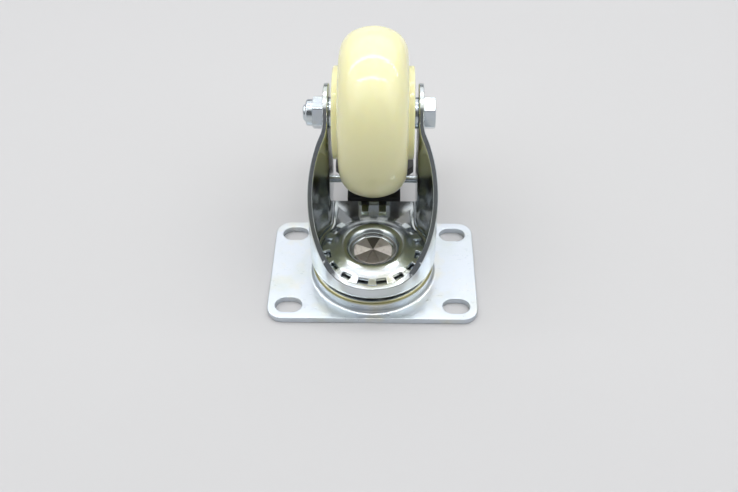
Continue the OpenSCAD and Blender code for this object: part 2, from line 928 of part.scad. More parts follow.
// Brake shoe: a hat pressing on the deck whose crown meets the tread
module brake_shoe() {
    crown = 4;
    along = [cos(shoe_slope), sin(shoe_slope)];
    low = shoe_off - crown * along;
    high = shoe_off + crown * along;
    flange = rivet_head_r + 0.2;
    head_room = rivet_head_r + shoe_t + 0.3;
    path = [deck(rivet_back[0] - flange, shoe_seat), deck(rivet_back[0] + head_room, shoe_seat),
        low - shoe_t * left(along), high - shoe_t * left(along),
        deck(rivet_back[1] - head_room, shoe_seat), deck(rivet_back[1] + flange, shoe_seat)];
    color(zinc)
    difference() {
        across(shoe_w)
            bent_section(path, shoe_t);
        brake_rivet_shanks(rivet_r + fit);
    }
}

module brake_rivets() {
    color(bright_steel)
        for (i = [0, 1])
            translate([0, deck(rivet_back[i], 0)[0], deck(rivet_back[i], 0)[1]])
                rotate([deck_slope, 0, 0])
                    rotate_extrude() {
                        ring_profile(0, rivet_r, -lock_t - eps, shoe_seat + shoe_t + eps);
                        translate([0, shoe_seat + shoe_t + fit])
                            round_top_profile(rivet_head_r, 0, rivet_head_h, rivet_head_edge);
                        translate([0, -lock_t])
                            mirror([0, 1])
                                round_top_profile(rivet_head_r, 0, rivet_head_h, rivet_head_edge);
                    }
}

top_plate();
kingpin();
lock_disc();
upper_balls();
lower_balls();
fork();
axle_bolt();
axle_nut();
nut_insert();
axle_sleeve();
collar_left();
collar_right();
bearing_inner_left();
bearing_inner_right();
bearing_outer_left();
bearing_outer_right();
bearing_balls_left();
bearing_balls_right();
bearing_cage_left();
bearing_cage_right();
bearing_shields_left();
bearing_shields_right();
wheel();
brake_pin();
brake_pedal();
lock_plate();
brake_shoe();
brake_rivets();
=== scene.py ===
"""Looks of a braked swivel castor with a nylon wheel, standing on its mounting plate.

Sizes are in millimetres, as on the piece's drawing, and MM turns them into the frame's metres.
"""

import json
import logging
import math
from collections.abc import Callable, Iterator, Sequence
from contextlib import contextmanager
from dataclasses import dataclass
from enum import Enum

import bmesh
import bpy
from bmesh.types import BMEdge, BMesh, BMVert
from bpy.types import Material, Node, NodeSocket, NodeTree, Object
from mathutils import Matrix, Vector


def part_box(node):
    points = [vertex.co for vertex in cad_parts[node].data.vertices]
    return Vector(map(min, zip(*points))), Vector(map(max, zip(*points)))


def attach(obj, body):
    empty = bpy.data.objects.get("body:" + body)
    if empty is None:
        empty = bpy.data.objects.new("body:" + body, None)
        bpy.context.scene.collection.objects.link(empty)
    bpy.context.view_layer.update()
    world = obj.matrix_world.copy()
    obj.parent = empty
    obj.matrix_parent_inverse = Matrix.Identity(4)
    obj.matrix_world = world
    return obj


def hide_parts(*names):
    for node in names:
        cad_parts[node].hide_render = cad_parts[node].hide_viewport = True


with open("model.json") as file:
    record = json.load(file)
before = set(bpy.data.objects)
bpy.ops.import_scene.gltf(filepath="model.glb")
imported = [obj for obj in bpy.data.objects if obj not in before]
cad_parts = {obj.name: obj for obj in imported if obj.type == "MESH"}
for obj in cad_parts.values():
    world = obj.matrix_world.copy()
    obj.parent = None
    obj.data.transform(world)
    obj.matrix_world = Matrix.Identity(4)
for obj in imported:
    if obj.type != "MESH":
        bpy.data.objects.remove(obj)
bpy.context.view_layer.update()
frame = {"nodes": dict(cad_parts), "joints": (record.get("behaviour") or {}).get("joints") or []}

LOG = logging.getLogger("castor")
MM = 0.001

# A turned form ends this far from its axis, where its points merge
AXIS_R = 0.002
# Points that lie nearer than this are one
MERGE = 0.002
# Pieces that seat on each other stand this far apart, so that their faces don't flicker
SEAT = 0.02
# Outside of the fork's arms
ARM_OUT = 21.9
# Bore of the pieces that the axle bolt goes through
AXLE_BORE_R = 4.05

Point = tuple[float, float]
Shape = Callable[[float, float, float], Point]


@dataclass(frozen=True)
class BallRow:
    """A row of balls round the swivel axis, and the race that it rolls in."""

    row_r: float
    z: float
    ball_r: float
    race_r: float


UPPER_ROW = BallRow(row_r=21, z=10.3, ball_r=2.75, race_r=2.8)
LOWER_ROW = BallRow(row_r=13.6, z=14.6, ball_r=2, race_r=2.05)


class Body(Enum):
    """The rigid bodies that the pieces ride on."""

    PLATE = "plate"
    UPPER_ROW = "upper_ball_row"
    LOWER_ROW = "lower_ball_row"
    FORK = "fork"
    WHEEL = "wheel"
    LEFT_ROW = "bearing_row_left"
    RIGHT_ROW = "bearing_row_right"
    BRAKE = "brake"


class Slot(Enum):
    """The record's material slots."""

    ZINC = "zinc_plated_steel"
    BRIGHT = "bright_steel"
    CREAM = "cream_nylon"
    BLACK = "black_nylon"


class Axis(Enum):
    """The axes that turned pieces lie on."""

    SWIVEL = "swivel"
    AXLE = "wheel_spin"
    PIN = "brake_swing"

    def origin(self) -> Vector:
        """Point of the axis, in millimetres, as the joint gives it."""
        joint = next(j for j in frame["joints"] if j["name"] == self.value)
        return Vector(joint["pos_m"]) / MM

    def matrix(self) -> Matrix:
        """Turns a piece that was made along Z onto this axis, in millimetres.

        Returns:
            The move, as a matrix.
        """
        if self is Axis.SWIVEL:
            return Matrix.Identity(4)
        along_x = Matrix(((0, 0, 1, 0), (1, 0, 0, 0), (0, 1, 0, 0), (0, 0, 0, 1)))
        return Matrix.Translation(self.origin()) @ along_x


class Side(Enum):
    """The two sides of the wheel, as the sign of X."""

    LEFT = -1
    RIGHT = 1


# Outlines


def polar(radius: float, angle: float) -> Point:
    """Point at a radius and an angle in degrees."""
    turn = math.radians(angle)
    return radius * math.cos(turn), radius * math.sin(turn)


def arc(centre: Point, radius: float, start: float, end: float, steps: int) -> list[Point]:
    """Points along a circle's arc.

    Args:
        centre: Centre of the circle.
        radius: Its radius.
        start: Angle of the first point, in degrees.
        end: Angle of the last point, in degrees.
        steps: Number of chords.

    Returns:
        The arc's points, both ends included.
    """
    points = [polar(radius, start + (end - start) * i / steps) for i in range(steps + 1)]
    return [(centre[0] + x, centre[1] + y) for x, y in points]


def rounded(corners: Sequence[Sequence[float]], closed: bool = True, steps: int = 5) -> list[Point]:
    """Outline whose corners are rounded, each by its own radius.

    Args:
        corners: Points as (x, y) or, with a radius, (x, y, r).
        closed: Whether the last corner joins the first.
        steps: Number of chords in a rounded corner.

    Returns:
        The outline's points.
    """
    points: list[Point] = []
    for i, corner in enumerate(corners):
        here = Vector(corner[:2])
        radius = corner[2] if len(corner) > 2 else 0.0
        at_end = not closed and i in (0, len(corners) - 1)
        if radius <= 0 or at_end:
            points.append((here.x, here.y))
            continue
        back = (Vector(corners[i - 1][:2]) - here).normalized()
        ahead = (Vector(corners[(i + 1) % len(corners)][:2]) - here).normalized()
        half = back.angle(ahead) / 2
        centre = here + (back + ahead).normalized() * (radius / math.sin(half))
        first = here + back * (radius / math.tan(half)) - centre
        last = here + ahead * (radius / math.tan(half)) - centre
        start = math.degrees(math.atan2(first.y, first.x))
        sweep = math.degrees(math.atan2(first.cross(last), first.dot(last)))
        points += arc((centre.x, centre.y), radius, start, start + sweep, steps)
    return points


def beside(path: Sequence[Point], distance: float) -> list[Point]:
    """Open path set to the right of another one.

    Args:
        path: Points of the path, which turns little from one to the next.
        distance: How far the new path lies from it.

    Returns:
        As many points as the path has.
    """
    points: list[Point] = []
    for i, point in enumerate(path):
        sides = []
        for a, b in ((i - 1, i), (i, i + 1)):
            if a >= 0 and b < len(path):
                run = (Vector(path[b]) - Vector(path[a])).normalized()
                sides.append(Vector((run.y, -run.x)))
        out = sum(sides, Vector((0, 0)))
        if len(sides) > 1:
            out /= 1 + out.length_squared / 4
        points.append((point[0] + distance * out.x, point[1] + distance * out.y))
    return points


# Meshes


def linked(name: str, data: bpy.types.ID) -> Object:
    """New object in the scene.

    Args:
        name: Its name.
        data: Its mesh, lamp or camera.

    Returns:
        The object.
    """
    obj = bpy.data.objects.new(name, data)
    bpy.context.scene.collection.objects.link(obj)
    return obj


def mesh_object(
    name: str,
    vertices: Sequence[Sequence[float]] = (),
    faces: Sequence[Sequence[int]] = (),
) -> Object:
    """New piece from vertices in millimetres.

    Args:
        name: Name of the piece.
        vertices: Its points.
        faces: Corner indices of its faces.

    Returns:
        The object, with its place in its mesh.
    """
    mesh = bpy.data.meshes.new(name)
    mesh.from_pydata([Vector(v) * MM for v in vertices], [], faces)
    return linked(name, mesh)


@contextmanager
def edited(obj: Object) -> Iterator[BMesh]:
    """Opens a piece's mesh for editing and writes it back.

    Args:
        obj: The piece.

    Yields:
        Its mesh.
    """
    bm = bmesh.new()
    bm.from_mesh(obj.data)
    yield bm
    bm.to_mesh(obj.data)
    bm.free()


def faced_outwards(obj: Object) -> Object:
    """Merges a closed mesh's doubles and turns its faces outwards.

    Args:
        obj: The piece.

    Returns:
        The same object.
    """
    with edited(obj) as bm:
        bmesh.ops.remove_doubles(bm, verts=bm.verts, dist=MERGE * MM)
        bmesh.ops.recalc_face_normals(bm, faces=bm.faces)
    return obj


def clear_loose(obj: Object) -> None:
    """Deletes vertices that no face uses.

    Args:
        obj: The piece.
    """
    with edited(obj) as bm:
        loose = [v for v in bm.verts if not v.link_faces]
        bmesh.ops.delete(bm, geom=loose, context="VERTS")


def baked(obj: Object) -> Object:
    """Turns an object's modifiers into its plain mesh.

    Args:
        obj: The piece.

    Returns:
        The same object.
    """
    graph = bpy.context.evaluated_depsgraph_get()
    mesh = bpy.data.meshes.new_from_object(
        obj.evaluated_get(graph), preserve_all_data_layers=True, depsgraph=graph
    )
    old = obj.data
    obj.modifiers.clear()
    obj.data = mesh
    mesh.name = obj.name
    bpy.data.meshes.remove(old)
    return obj


def softened(obj: Object, edge_mm: float, angle: float = 40, steps: int = 3) -> Object:
    """Rounds a piece's sharp edges.

    Args:
        obj: The piece.
        edge_mm: Width of the rounding.
        angle: Edges that turn by more than this many degrees are rounded.
        steps: Number of faces across a rounded edge.

    Returns:
        The same object.
    """
    bevel = obj.modifiers.new("edges", "BEVEL")
    bevel.width = edge_mm * MM
    bevel.segments = steps
    bevel.limit_method = "ANGLE"
    bevel.angle_limit = math.radians(angle)
    bevel.use_clamp_overlap = False
    return baked(obj)


def shaded(obj: Object, sharp: float = 38) -> Object:
    """Shades a piece smooth between its sharp edges, with flat faces kept flat.

    Args:
        obj: The piece.
        sharp: Edges that turn by more than this many degrees stay sharp.

    Returns:
        The same object.
    """
    mesh = obj.data
    mesh.polygons.foreach_set("use_smooth", [True] * len(mesh.polygons))
    mesh.set_sharp_from_angle(angle=math.radians(sharp))
    weighted = obj.modifiers.new("even light", "WEIGHTED_NORMAL")
    weighted.keep_sharp = True
    return baked(obj)


def turned(
    name: str,
    profile: Sequence[Point],
    axis: Axis,
    segments: int = 192,
    start: float = 0.0,
    shape: Shape | None = None,
) -> Object:
    """Solid of revolution, or a form that is close to one.

    Args:
        name: Name of the piece.
        profile: Closed outline as (radius, height along the axis).
        axis: Axis that it lies on.
        segments: Number of faces round it.
        start: Angle of the first column, in degrees.
        shape: Moves a point, given its radius, height and angle in degrees.

    Returns:
        The closed piece.
    """
    vertices, faces = [], []
    for radius, height in profile:
        for k in range(segments):
            angle = start + 360 * k / segments
            r, h = shape(radius, height, angle) if shape else (radius, height)
            vertices.append((*polar(r, angle), h))
    rows = len(profile)
    for i in range(rows):
        for k in range(segments):
            a, b = i * segments, (i + 1) % rows * segments
            ahead = (k + 1) % segments
            faces.append((a + k, a + ahead, b + ahead, b + k))
    return faced_outwards(mesh_object(name, [axis.matrix() @ Vector(v) for v in vertices], faces))


def doubled_sheet(surface: Sequence[Sequence[int]], count: int) -> list[tuple[int, ...]]:
    """Faces of a sheet with two sides from the faces of one.

    Args:
        surface: Faces of the first side.
        count: Number of vertices on a side; the second side's follow in the same order.

    Returns:
        Faces of both sides and of the edges between them.
    """
    faces = [tuple(face) for face in surface]
    faces += [tuple(i + count for i in reversed(face)) for face in surface]
    edges = {pair: None for face in surface for pair in zip(face, (*face[1:], face[0]))}
    faces += [(b, a, a + count, b + count) for a, b in edges if (b, a) not in edges]
    return faces


def joined_rings(bm: BMesh, rings: Sequence[Sequence[BMVert]]) -> tuple[list[BMEdge], list[BMEdge]]:
    """Adds the faces between closed rings of vertices.

    Args:
        bm: The mesh.
        rings: Its rings, all of one length.

    Returns:
        The edges of the first ring and of the last.
    """
    count = len(rings[0])
    for ring, after in zip(rings, rings[1:]):
        for k in range(count):
            bm.faces.new((ring[k - 1], ring[k], after[k], after[k - 1]))
    first, last = ([bm.edges.get((r[k - 1], r[k])) for k in range(count)] for r in (rings[0], rings[-1]))
    return first, last


def from_node(node: str, name: str, flat: float = 0.4) -> Object:
    """Copy of a solid's mesh with its doubles merged and its flat faces joined.

    Args:
        node: Name of the solid.
        name: Name of the new piece.
        flat: Faces that differ by less than this many degrees are joined.

    Returns:
        The new object.
    """
    obj = linked(name, frame["nodes"][node].data.copy())
    with edited(obj) as bm:
        bmesh.ops.remove_doubles(bm, verts=bm.verts, dist=MERGE * MM)
        bmesh.ops.dissolve_limit(bm, angle_limit=math.radians(flat), verts=bm.verts, edges=bm.edges)
    return obj


def cut(obj: Object, cutters: Sequence[Object]) -> Object:
    """Cuts solids out of a piece and removes them.

    Args:
        obj: The piece.
        cutters: The solids that are cut out.

    Returns:
        The same object.
    """
    for cutter in cutters:
        difference = obj.modifiers.new("cut", "BOOLEAN")
        difference.operation = "DIFFERENCE"
        difference.solver = "EXACT"
        difference.object = cutter
    baked(obj)
    for cutter in cutters:
        bpy.data.objects.remove(cutter)
    return obj


def placed(obj: Object, place: Matrix) -> Object:
    """Moves a piece's mesh to a place that is given in millimetres.

    Args:
        obj: The piece.
        place: The move.

    Returns:
        The same object.
    """
    move = place.copy()
    move.translation *= MM
    obj.data.transform(move)
    return obj


def dress(node: str, material: Material) -> None:
    """Gives a solid that stays as it is its finish.

    Args:
        node: Name of the solid.
        material: The finish.
    """
    mesh = frame["nodes"][node].data
    mesh.materials.clear()
    mesh.materials.append(material)


def kept(obj: Object, material: Material, body: Body, slot: Slot, *nodes: str) -> Object:
    """Dresses a finished piece and sets it on its body.

    Args:
        obj: The piece.
        material: Its finish.
        body: Body that it rides on.
        slot: The record's slot for the finish; not used.
        nodes: Solids that it stands for.

    Returns:
        The same object.
    """
    obj.data.materials.clear()
    obj.data.materials.append(material)
    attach(obj, body.value)
    if nodes:
        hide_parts(*nodes)
    LOG.info("%s: %d faces on %s", obj.name, len(obj.data.polygons), body.value)
    return obj


# Node trees

NOISE = "ShaderNodeTexNoise"
RANGE = "ShaderNodeMapRange"
MIX = "ShaderNodeMix"


def linear(colour: str) -> tuple[float, float, float, float]:
    """Linear colour of an sRGB hex value such as #c0ffee.

    Args:
        colour: The hex value.

    Returns:
        Red, green, blue and alpha.
    """
    parts = [int(colour[i : i + 2], 16) / 255 for i in (1, 3, 5)]
    parts = [p / 12.92 if p <= 0.04045 else ((p + 0.055) / 1.055) ** 2.4 for p in parts]
    return (*parts, 1.0)


def per(size_mm: float) -> float:
    """Scale of a pattern whose marks are this many millimetres apart."""
    return 1 / (size_mm * MM)


def add(tree: NodeTree, kind: str, sockets: dict | None = None, **settings: object) -> Node:
    """Adds a node to a tree.

    Args:
        tree: The tree.
        kind: The node's type name.
        sockets: Value or source socket of each input, by its name or number.
        settings: The node's own settings.

    Returns:
        The node.
    """
    node = tree.nodes.new(kind)
    for key, value in settings.items():
        setattr(node, key, value)
    for key, value in (sockets or {}).items():
        if isinstance(value, NodeSocket):
            tree.links.new(value, node.inputs[key])
        else:
            node.inputs[key].default_value = value
    return node


def new_surface(name: str) -> tuple[Material, NodeTree, NodeSocket]:
    """Empty material.

    Args:
        name: Name of the finish.

    Returns:
        The material, its tree and the Object coordinates of the piece.
    """
    material = bpy.data.materials.new(name)
    material.use_nodes = True
    material.node_tree.nodes.clear()
    coords = add(material.node_tree, "ShaderNodeTexCoord")
    return material, material.node_tree, coords.outputs["Object"]


# Finishes


@dataclass(frozen=True, kw_only=True)
class Finish:
    """What all finishes have: a name, the roughness of their smooth and rough places, and a relief."""

    name: str
    smooth: float
    rough: float
    relief_mm: float
    relief_share: float = 0.3

    def skin(
        self, tree: NodeTree, matt: NodeSocket, span: Point, height: NodeSocket, looks: dict[str, object]
    ) -> None:
        """Ends a material's tree with its skin.

        Args:
            tree: The material's tree.
            matt: Pattern of the smooth and the rough places.
            span: Values of that pattern at both.
            height: Pattern of the relief.
            looks: The skin's other inputs.
        """
        rough = add(tree, RANGE, {0: matt, 1: span[0], 2: span[1], 3: self.smooth, 4: self.rough})
        rise = {"Height": height, "Strength": self.relief_share, "Distance": self.relief_mm * MM}
        relief = add(tree, "ShaderNodeBump", rise)
        looks = {**looks, "Roughness": rough.outputs[0], "Normal": relief.outputs[0]}
        skin = add(tree, "ShaderNodeBsdfPrincipled", looks)
        add(tree, "ShaderNodeOutputMaterial", {"Surface": skin.outputs[0]})


@dataclass(frozen=True, kw_only=True)
class ZincPlated(Finish):
    """Pressed sheet steel, bright zinc plated and passivated."""

    # The zinc mirrors its surroundings softly, bluish, with straw and green films of passivation.
    # Its grain and its rolling marks are drawn coarser than real ones, so that they show.
    name: str = "zinc_plated_pressed_steel"
    blue: str = "#d4dade"
    straw: str = "#d6d2b4"
    green: str = "#c4cfc4"
    stain: str = "#aca452"
    cloud_mm: float = 16
    film_share: float = 1.7
    grain_mm: float = 0.7
    roll_mm: float = 0.5
    roll_stretch: float = 0.03
    smooth: float = 0.18
    rough: float = 0.24
    relief_mm: float = 0.003
    relief_share: float = 0.35
    stain_ring: tuple[float, float, float] | None = None

    def build(self) -> Material:
        """Builds the finish.

        Returns:
            The material.
        """
        material, tree, place = new_surface(self.name)
        cloud = add(tree, NOISE, {"Vector": place, "Scale": per(self.cloud_mm), "Detail": 3.0})
        film = add(
            tree,
            NOISE,
            {"Vector": place, "W": 4.0, "Scale": per(self.film_share * self.cloud_mm), "Detail": 4.0},
            noise_dimensions="4D",
        )
        tint = linear(self.blue)
        for pattern, low, high, most, colour in (
            (cloud, 0.5, 0.75, 0.55, self.straw),
            (film, 0.48, 0.72, 0.6, self.green),
        ):
            fac = pattern.outputs["Fac"]
            share = add(tree, RANGE, {0: fac, 1: low, 2: high, 3: 0.0, 4: most}).outputs[0]
            ends = {0: share, 6: tint, 7: linear(colour)}
            tint = add(tree, MIX, ends, data_type="RGBA").outputs[2]
        if self.stain_ring:
            tint = self.stained(tree, place, tint)
        grain = add(tree, NOISE, {"Vector": place, "Scale": per(self.grain_mm), "Detail": 3.0})
        stretch = {"Vector": place, "Scale": (self.roll_stretch, 1.0, 1.0)}
        lengthwise = add(tree, "ShaderNodeMapping", stretch).outputs[0]
        roll = add(tree, NOISE, {"Vector": lengthwise, "Scale": per(self.roll_mm), "Detail": 2.0})
        marks = {0: grain.outputs["Fac"], 1: roll.outputs["Fac"]}
        mixed = add(tree, "ShaderNodeMath", marks, operation="ADD").outputs[0]
        self.skin(tree, mixed, (0.7, 1.3), mixed, {"Base Color": tint, "Metallic": 1.0})
        return material

    def stained(self, tree: NodeTree, place: NodeSocket, tint: NodeSocket) -> NodeSocket:
        """Adds the thicker straw film that stays on a drawn edge.

        Args:
            tree: The material's tree.
            place: Object coordinates.
            tint: The colour so far.

        Returns:
            The colour with the film.
        """
        radius, height, half_width = (size * MM for size in self.stain_ring)
        flat = add(tree, "ShaderNodeVectorMath", {0: place, 1: (1.0, 1.0, 0.0)}, operation="MULTIPLY")
        length = add(tree, "ShaderNodeVectorMath", {0: flat.outputs[0]}, operation="LENGTH")
        across = add(tree, "ShaderNodeSeparateXYZ", {"Vector": place})
        flattened = {"X": length.outputs["Value"], "Z": across.outputs["Z"]}
        section = add(tree, "ShaderNodeCombineXYZ", flattened)
        ring = {0: section.outputs[0], 1: (radius, 0.0, height)}
        off = add(tree, "ShaderNodeVectorMath", ring, operation="DISTANCE")
        away = off.outputs["Value"]
        share = add(tree, RANGE, {0: away, 1: 0.3 * half_width, 2: half_width, 3: 0.8, 4: 0.0})
        ends = {0: share.outputs[0], 6: tint, 7: linear(self.stain)}
        return add(tree, MIX, ends, data_type="RGBA").outputs[2]


@dataclass(frozen=True, kw_only=True)
class BrightSteel(Finish):
    """Hardened or peened steel without plating."""

    # The tool leaves a warm grey shine with a few darker spots.
    # Its grain is drawn coarser than a real one, so that it shows.
    name: str = "riveted_bright_steel"
    colour: str = "#cbc8c6"
    shade: str = "#a9a5a2"
    petal_shade: str = "#6b655e"
    # Painted shade colour of the darker petals
    mark_mm: float = 2.2
    grain_mm: float = 0.35
    smooth: float = 0.16
    rough: float = 0.34
    relief_mm: float = 0.01
    # Share of the pale colour on each petal round the head, the rest being the painted shade colour:
    # painted highlight and painted shade of the petals' reflections
    petal_sheen: tuple[float, ...] = ()

    def build(self) -> Material:
        """Builds the finish.

        Returns:
            The material.
        """
        material, tree, place = new_surface(self.name)
        mark = add(tree, NOISE, {"Vector": place, "Scale": per(self.mark_mm), "Detail": 4.0})
        grain = add(tree, NOISE, {"Vector": place, "Scale": per(self.grain_mm), "Detail": 2.0})
        spot = add(tree, RANGE, {0: mark.outputs["Fac"], 1: 0.5, 2: 0.72})
        ends = {0: spot.outputs[0], 6: linear(self.colour), 7: linear(self.shade)}
        tint = add(tree, MIX, ends, data_type="RGBA").outputs[2]
        # Petals are painted lighter and darker, as painted highlight and painted shade
        if self.petal_sheen:
            tint = self.paint_petal_sheen(tree, place, tint)
        marks = grain.outputs["Fac"]
        self.skin(tree, marks, (0.3, 0.7), marks, {"Base Color": tint, "Metallic": 1.0})
        return material

    def paint_petal_sheen(self, tree: NodeTree, place: NodeSocket, tint: NodeSocket) -> NodeSocket:
        """Paints some petals of the head lighter than others: painted highlight on the light petals and
        painted shade on the dark ones.

        Args:
            tree: The material's tree.
            place: Object coordinates.
            tint: The colour so far.

        Returns:
            The colour petal by petal, with its painted highlight and shade.
        """
        turn = add(tree, "ShaderNodeTexGradient", {"Vector": place}, gradient_type="RADIAL")
        ramp = add(tree, "ShaderNodeValToRGB", {"Fac": turn.outputs["Fac"]})
        steps = ramp.color_ramp
        steps.interpolation = "CONSTANT"
        steps.elements.remove(steps.elements[1])
        pitch = 1 / len(self.petal_sheen)
        for i, share in enumerate((*self.petal_sheen, self.petal_sheen[0])):
            step = steps.elements.new((i - 0.5) * pitch) if i else steps.elements[0]
            step.color = (share, share, share, 1.0)
        ends = {0: ramp.outputs["Color"], 6: linear(self.petal_shade), 7: tint}
        return add(tree, MIX, ends, data_type="RGBA").outputs[2]


@dataclass(frozen=True, kw_only=True)
class Nylon(Finish):
    """Injection moulded nylon."""

    # The mould leaves an even gloss, and light soaks a little way into a natural, unfilled nylon.
    colour: str
    other: str
    peel_mm: float
    cloud_mm: float = 14
    ior: float = 1.53
    glow: float = 0.0
    depth_mm: float = 3.0
    soak: tuple[float, float, float] = (1.0, 0.85, 0.4)

    def build(self) -> Material:
        """Builds the finish.

        Returns:
            The material.
        """
        material, tree, place = new_surface(self.name)
        cloud = add(tree, NOISE, {"Vector": place, "Scale": per(self.cloud_mm), "Detail": 2.0})
        peel = add(tree, NOISE, {"Vector": place, "Scale": per(self.peel_mm), "Detail": 2.0})
        ends = {0: cloud.outputs["Fac"], 6: linear(self.colour), 7: linear(self.other)}
        looks = {
            "Base Color": add(tree, MIX, ends, data_type="RGBA").outputs[2],
            "IOR": self.ior,
            "Subsurface Weight": self.glow,
            "Subsurface Radius": self.soak,
            "Subsurface Scale": self.depth_mm * MM,
        }
        self.skin(tree, cloud.outputs["Fac"], (0.3, 0.7), peel.outputs["Fac"], looks)
        return material


@dataclass(frozen=True)
class Finishes:
    """The castor's finishes, built once."""

    zinc: Material
    plate_zinc: Material
    disc_zinc: Material
    fastener_zinc: Material
    bright: Material
    peened: Material
    ball: Material
    cream: Material
    black: Material

    @classmethod
    def build(cls) -> "Finishes":
        """Builds each finish.

        Returns:
            The finishes.
        """
        return cls(
            zinc=ZincPlated().build(),
            # Drawing roughens the sheet, so the plate mirrors less than the fork, with a coarser grain
            plate_zinc=ZincPlated(
                name="zinc_plated_drawn_steel",
                blue="#d3dae2",
                straw="#d9d5c0",
                green="#c6d0cf",
                cloud_mm=9,
                grain_mm=1.8,
                smooth=0.27,
                rough=0.44,
                relief_mm=0.03,
                stain_ring=(27.4, 8.9, 1.3),
            ).build(),
            # Coining leaves the disc a little less even than the fork
            disc_zinc=ZincPlated(name="zinc_plated_coined_steel", rough=0.26).build(),
            # Turned faces are finer than sheet, so the bolt, the nut and the pin shine more and bluer
            fastener_zinc=ZincPlated(
                name="zinc_plated_turned_steel",
                blue="#cdd5dc",
                straw="#cfd3d2",
                cloud_mm=6,
                smooth=0.14,
            ).build(),
            bright=BrightSteel().build(),
            # The peening tool crushes the head, so it is pale and matt; the pale colour is partly painted
            # highlight, and each petal's own grey is painted highlight on some petals and painted shade on
            # others
            peened=BrightSteel(
                name="peened_star_steel",
                colour="#f0e9e8",
                shade="#d8cfcc",
                smooth=0.4,
                rough=0.55,
                # Painted highlight and painted shade of each petal, as its share of the pale colour
                petal_sheen=(1.0, 0.3, 0.2, 0.35, 0.95, 0.8, 0.1, 0.6),
            ).build(),
            # Lapped balls mirror almost sharply
            ball=BrightSteel(name="polished_ball_steel", shade="#bdbbba", smooth=0.05, rough=0.1).build(),
            cream=Nylon(
                name="moulded_natural_nylon",
                colour="#f4f1c3",
                other="#f1edb9",
                smooth=0.1,
                rough=0.15,
                peel_mm=2.5,
                relief_mm=0.002,
                glow=0.4,
            ).build(),
            # A textured mould makes the pedal satin, with a grain drawn coarse enough to show
            black=Nylon(
                name="moulded_black_nylon",
                colour="#1a1a1c",
                other="#222224",
                smooth=0.38,
                rough=0.5,
                peel_mm=0.5,
                relief_mm=0.02,
            ).build(),
        )


# Repeated pieces


def new_growth(name: str, inputs: dict[str, str]) -> tuple[NodeTree, bpy.types.NodeOutputs]:
    """Geometry tree with named inputs.

    Args:
        name: Name of the tree.
        inputs: Kind of socket of each input, by its name.

    Returns:
        The tree and the sockets that give its inputs.
    """
    tree = bpy.data.node_groups.new(name, "GeometryNodeTree")
    for label, kind in inputs.items():
        tree.interface.new_socket(label, in_out="INPUT", socket_type=f"NodeSocket{kind}")
    tree.interface.new_socket("Geometry", in_out="OUTPUT", socket_type="NodeSocketGeometry")
    return tree, add(tree, "NodeGroupInput").outputs


def closed_tree(tree: NodeTree, geometry: NodeSocket, finish: NodeSocket) -> NodeTree:
    """Ends a geometry tree: real meshes, smooth shading and a finish.

    Args:
        tree: The tree.
        geometry: What it has made so far.
        finish: Its material input.

    Returns:
        The tree.
    """
    real = add(tree, "GeometryNodeRealizeInstances", {"Geometry": geometry})
    smooth = add(tree, "GeometryNodeSetShadeSmooth", {0: real.outputs[0]})
    dressed = add(tree, "GeometryNodeSetMaterial", {"Geometry": smooth.outputs[0], "Material": finish})
    add(tree, "NodeGroupOutput", {0: dressed.outputs[0]})
    return tree


def ring_of_balls() -> NodeTree:
    """Geometry tree that sets balls round a circle.

    Returns:
        The tree, with inputs Balls, Row radius, Ball radius and Finish.
    """
    inputs = {"Balls": "Int", "Row radius": "Float", "Ball radius": "Float", "Finish": "Material"}
    tree, given = new_growth("ring of balls", inputs)
    row = add(tree, "GeometryNodeMeshCircle", {"Vertices": given["Balls"], "Radius": given["Row radius"]})
    sizes = {"Segments": 32, "Rings": 20, "Radius": given["Ball radius"]}
    ball = add(tree, "GeometryNodeMeshUVSphere", sizes)
    copies = {"Points": row.outputs[0], "Instance": ball.outputs[0]}
    balls = add(tree, "GeometryNodeInstanceOnPoints", copies)
    return closed_tree(tree, balls.outputs[0], given["Finish"])


def row_of_copies() -> NodeTree:
    """Geometry tree that sets copies of a piece along a line.

    Returns:
        The tree, with inputs Piece, Copies, Step and Finish.
    """
    inputs = {"Piece": "Object", "Copies": "Int", "Step": "Vector", "Finish": "Material"}
    tree, given = new_growth("row of copies", inputs)
    line = add(tree, "GeometryNodeMeshLine", {"Count": given["Copies"], "Offset": given["Step"]})
    piece = add(tree, "GeometryNodeObjectInfo", {"Object": given["Piece"]})
    copies = {"Points": line.outputs[0], "Instance": piece.outputs["Geometry"]}
    row = add(tree, "GeometryNodeInstanceOnPoints", copies)
    return closed_tree(tree, row.outputs[0], given["Finish"])


def thread_ridge() -> NodeTree:
    """Geometry tree that winds a screw thread's ridge.

    Returns:
        The tree, with inputs Radius, Turns, Length, Ridge and Finish.
    """
    sizes = dict.fromkeys(("Radius", "Turns", "Length", "Ridge"), "Float")
    tree, given = new_growth("thread ridge", {**sizes, "Finish": "Material"})
    helix = add(
        tree,
        "GeometryNodeCurveSpiral",
        {
            "Resolution": 64,
            "Rotations": given["Turns"],
            "Start Radius": given["Radius"],
            "End Radius": given["Radius"],
            "Height": given["Length"],
        },
    )
    section = add(tree, "GeometryNodeCurvePrimitiveCircle", {"Resolution": 6, "Radius": given["Ridge"]})
    ridge = add(
        tree,
        "GeometryNodeCurveToMesh",
        {"Curve": helix.outputs[0], "Profile Curve": section.outputs[0], "Fill Caps": True},
    )
    return closed_tree(tree, ridge.outputs[0], given["Finish"])


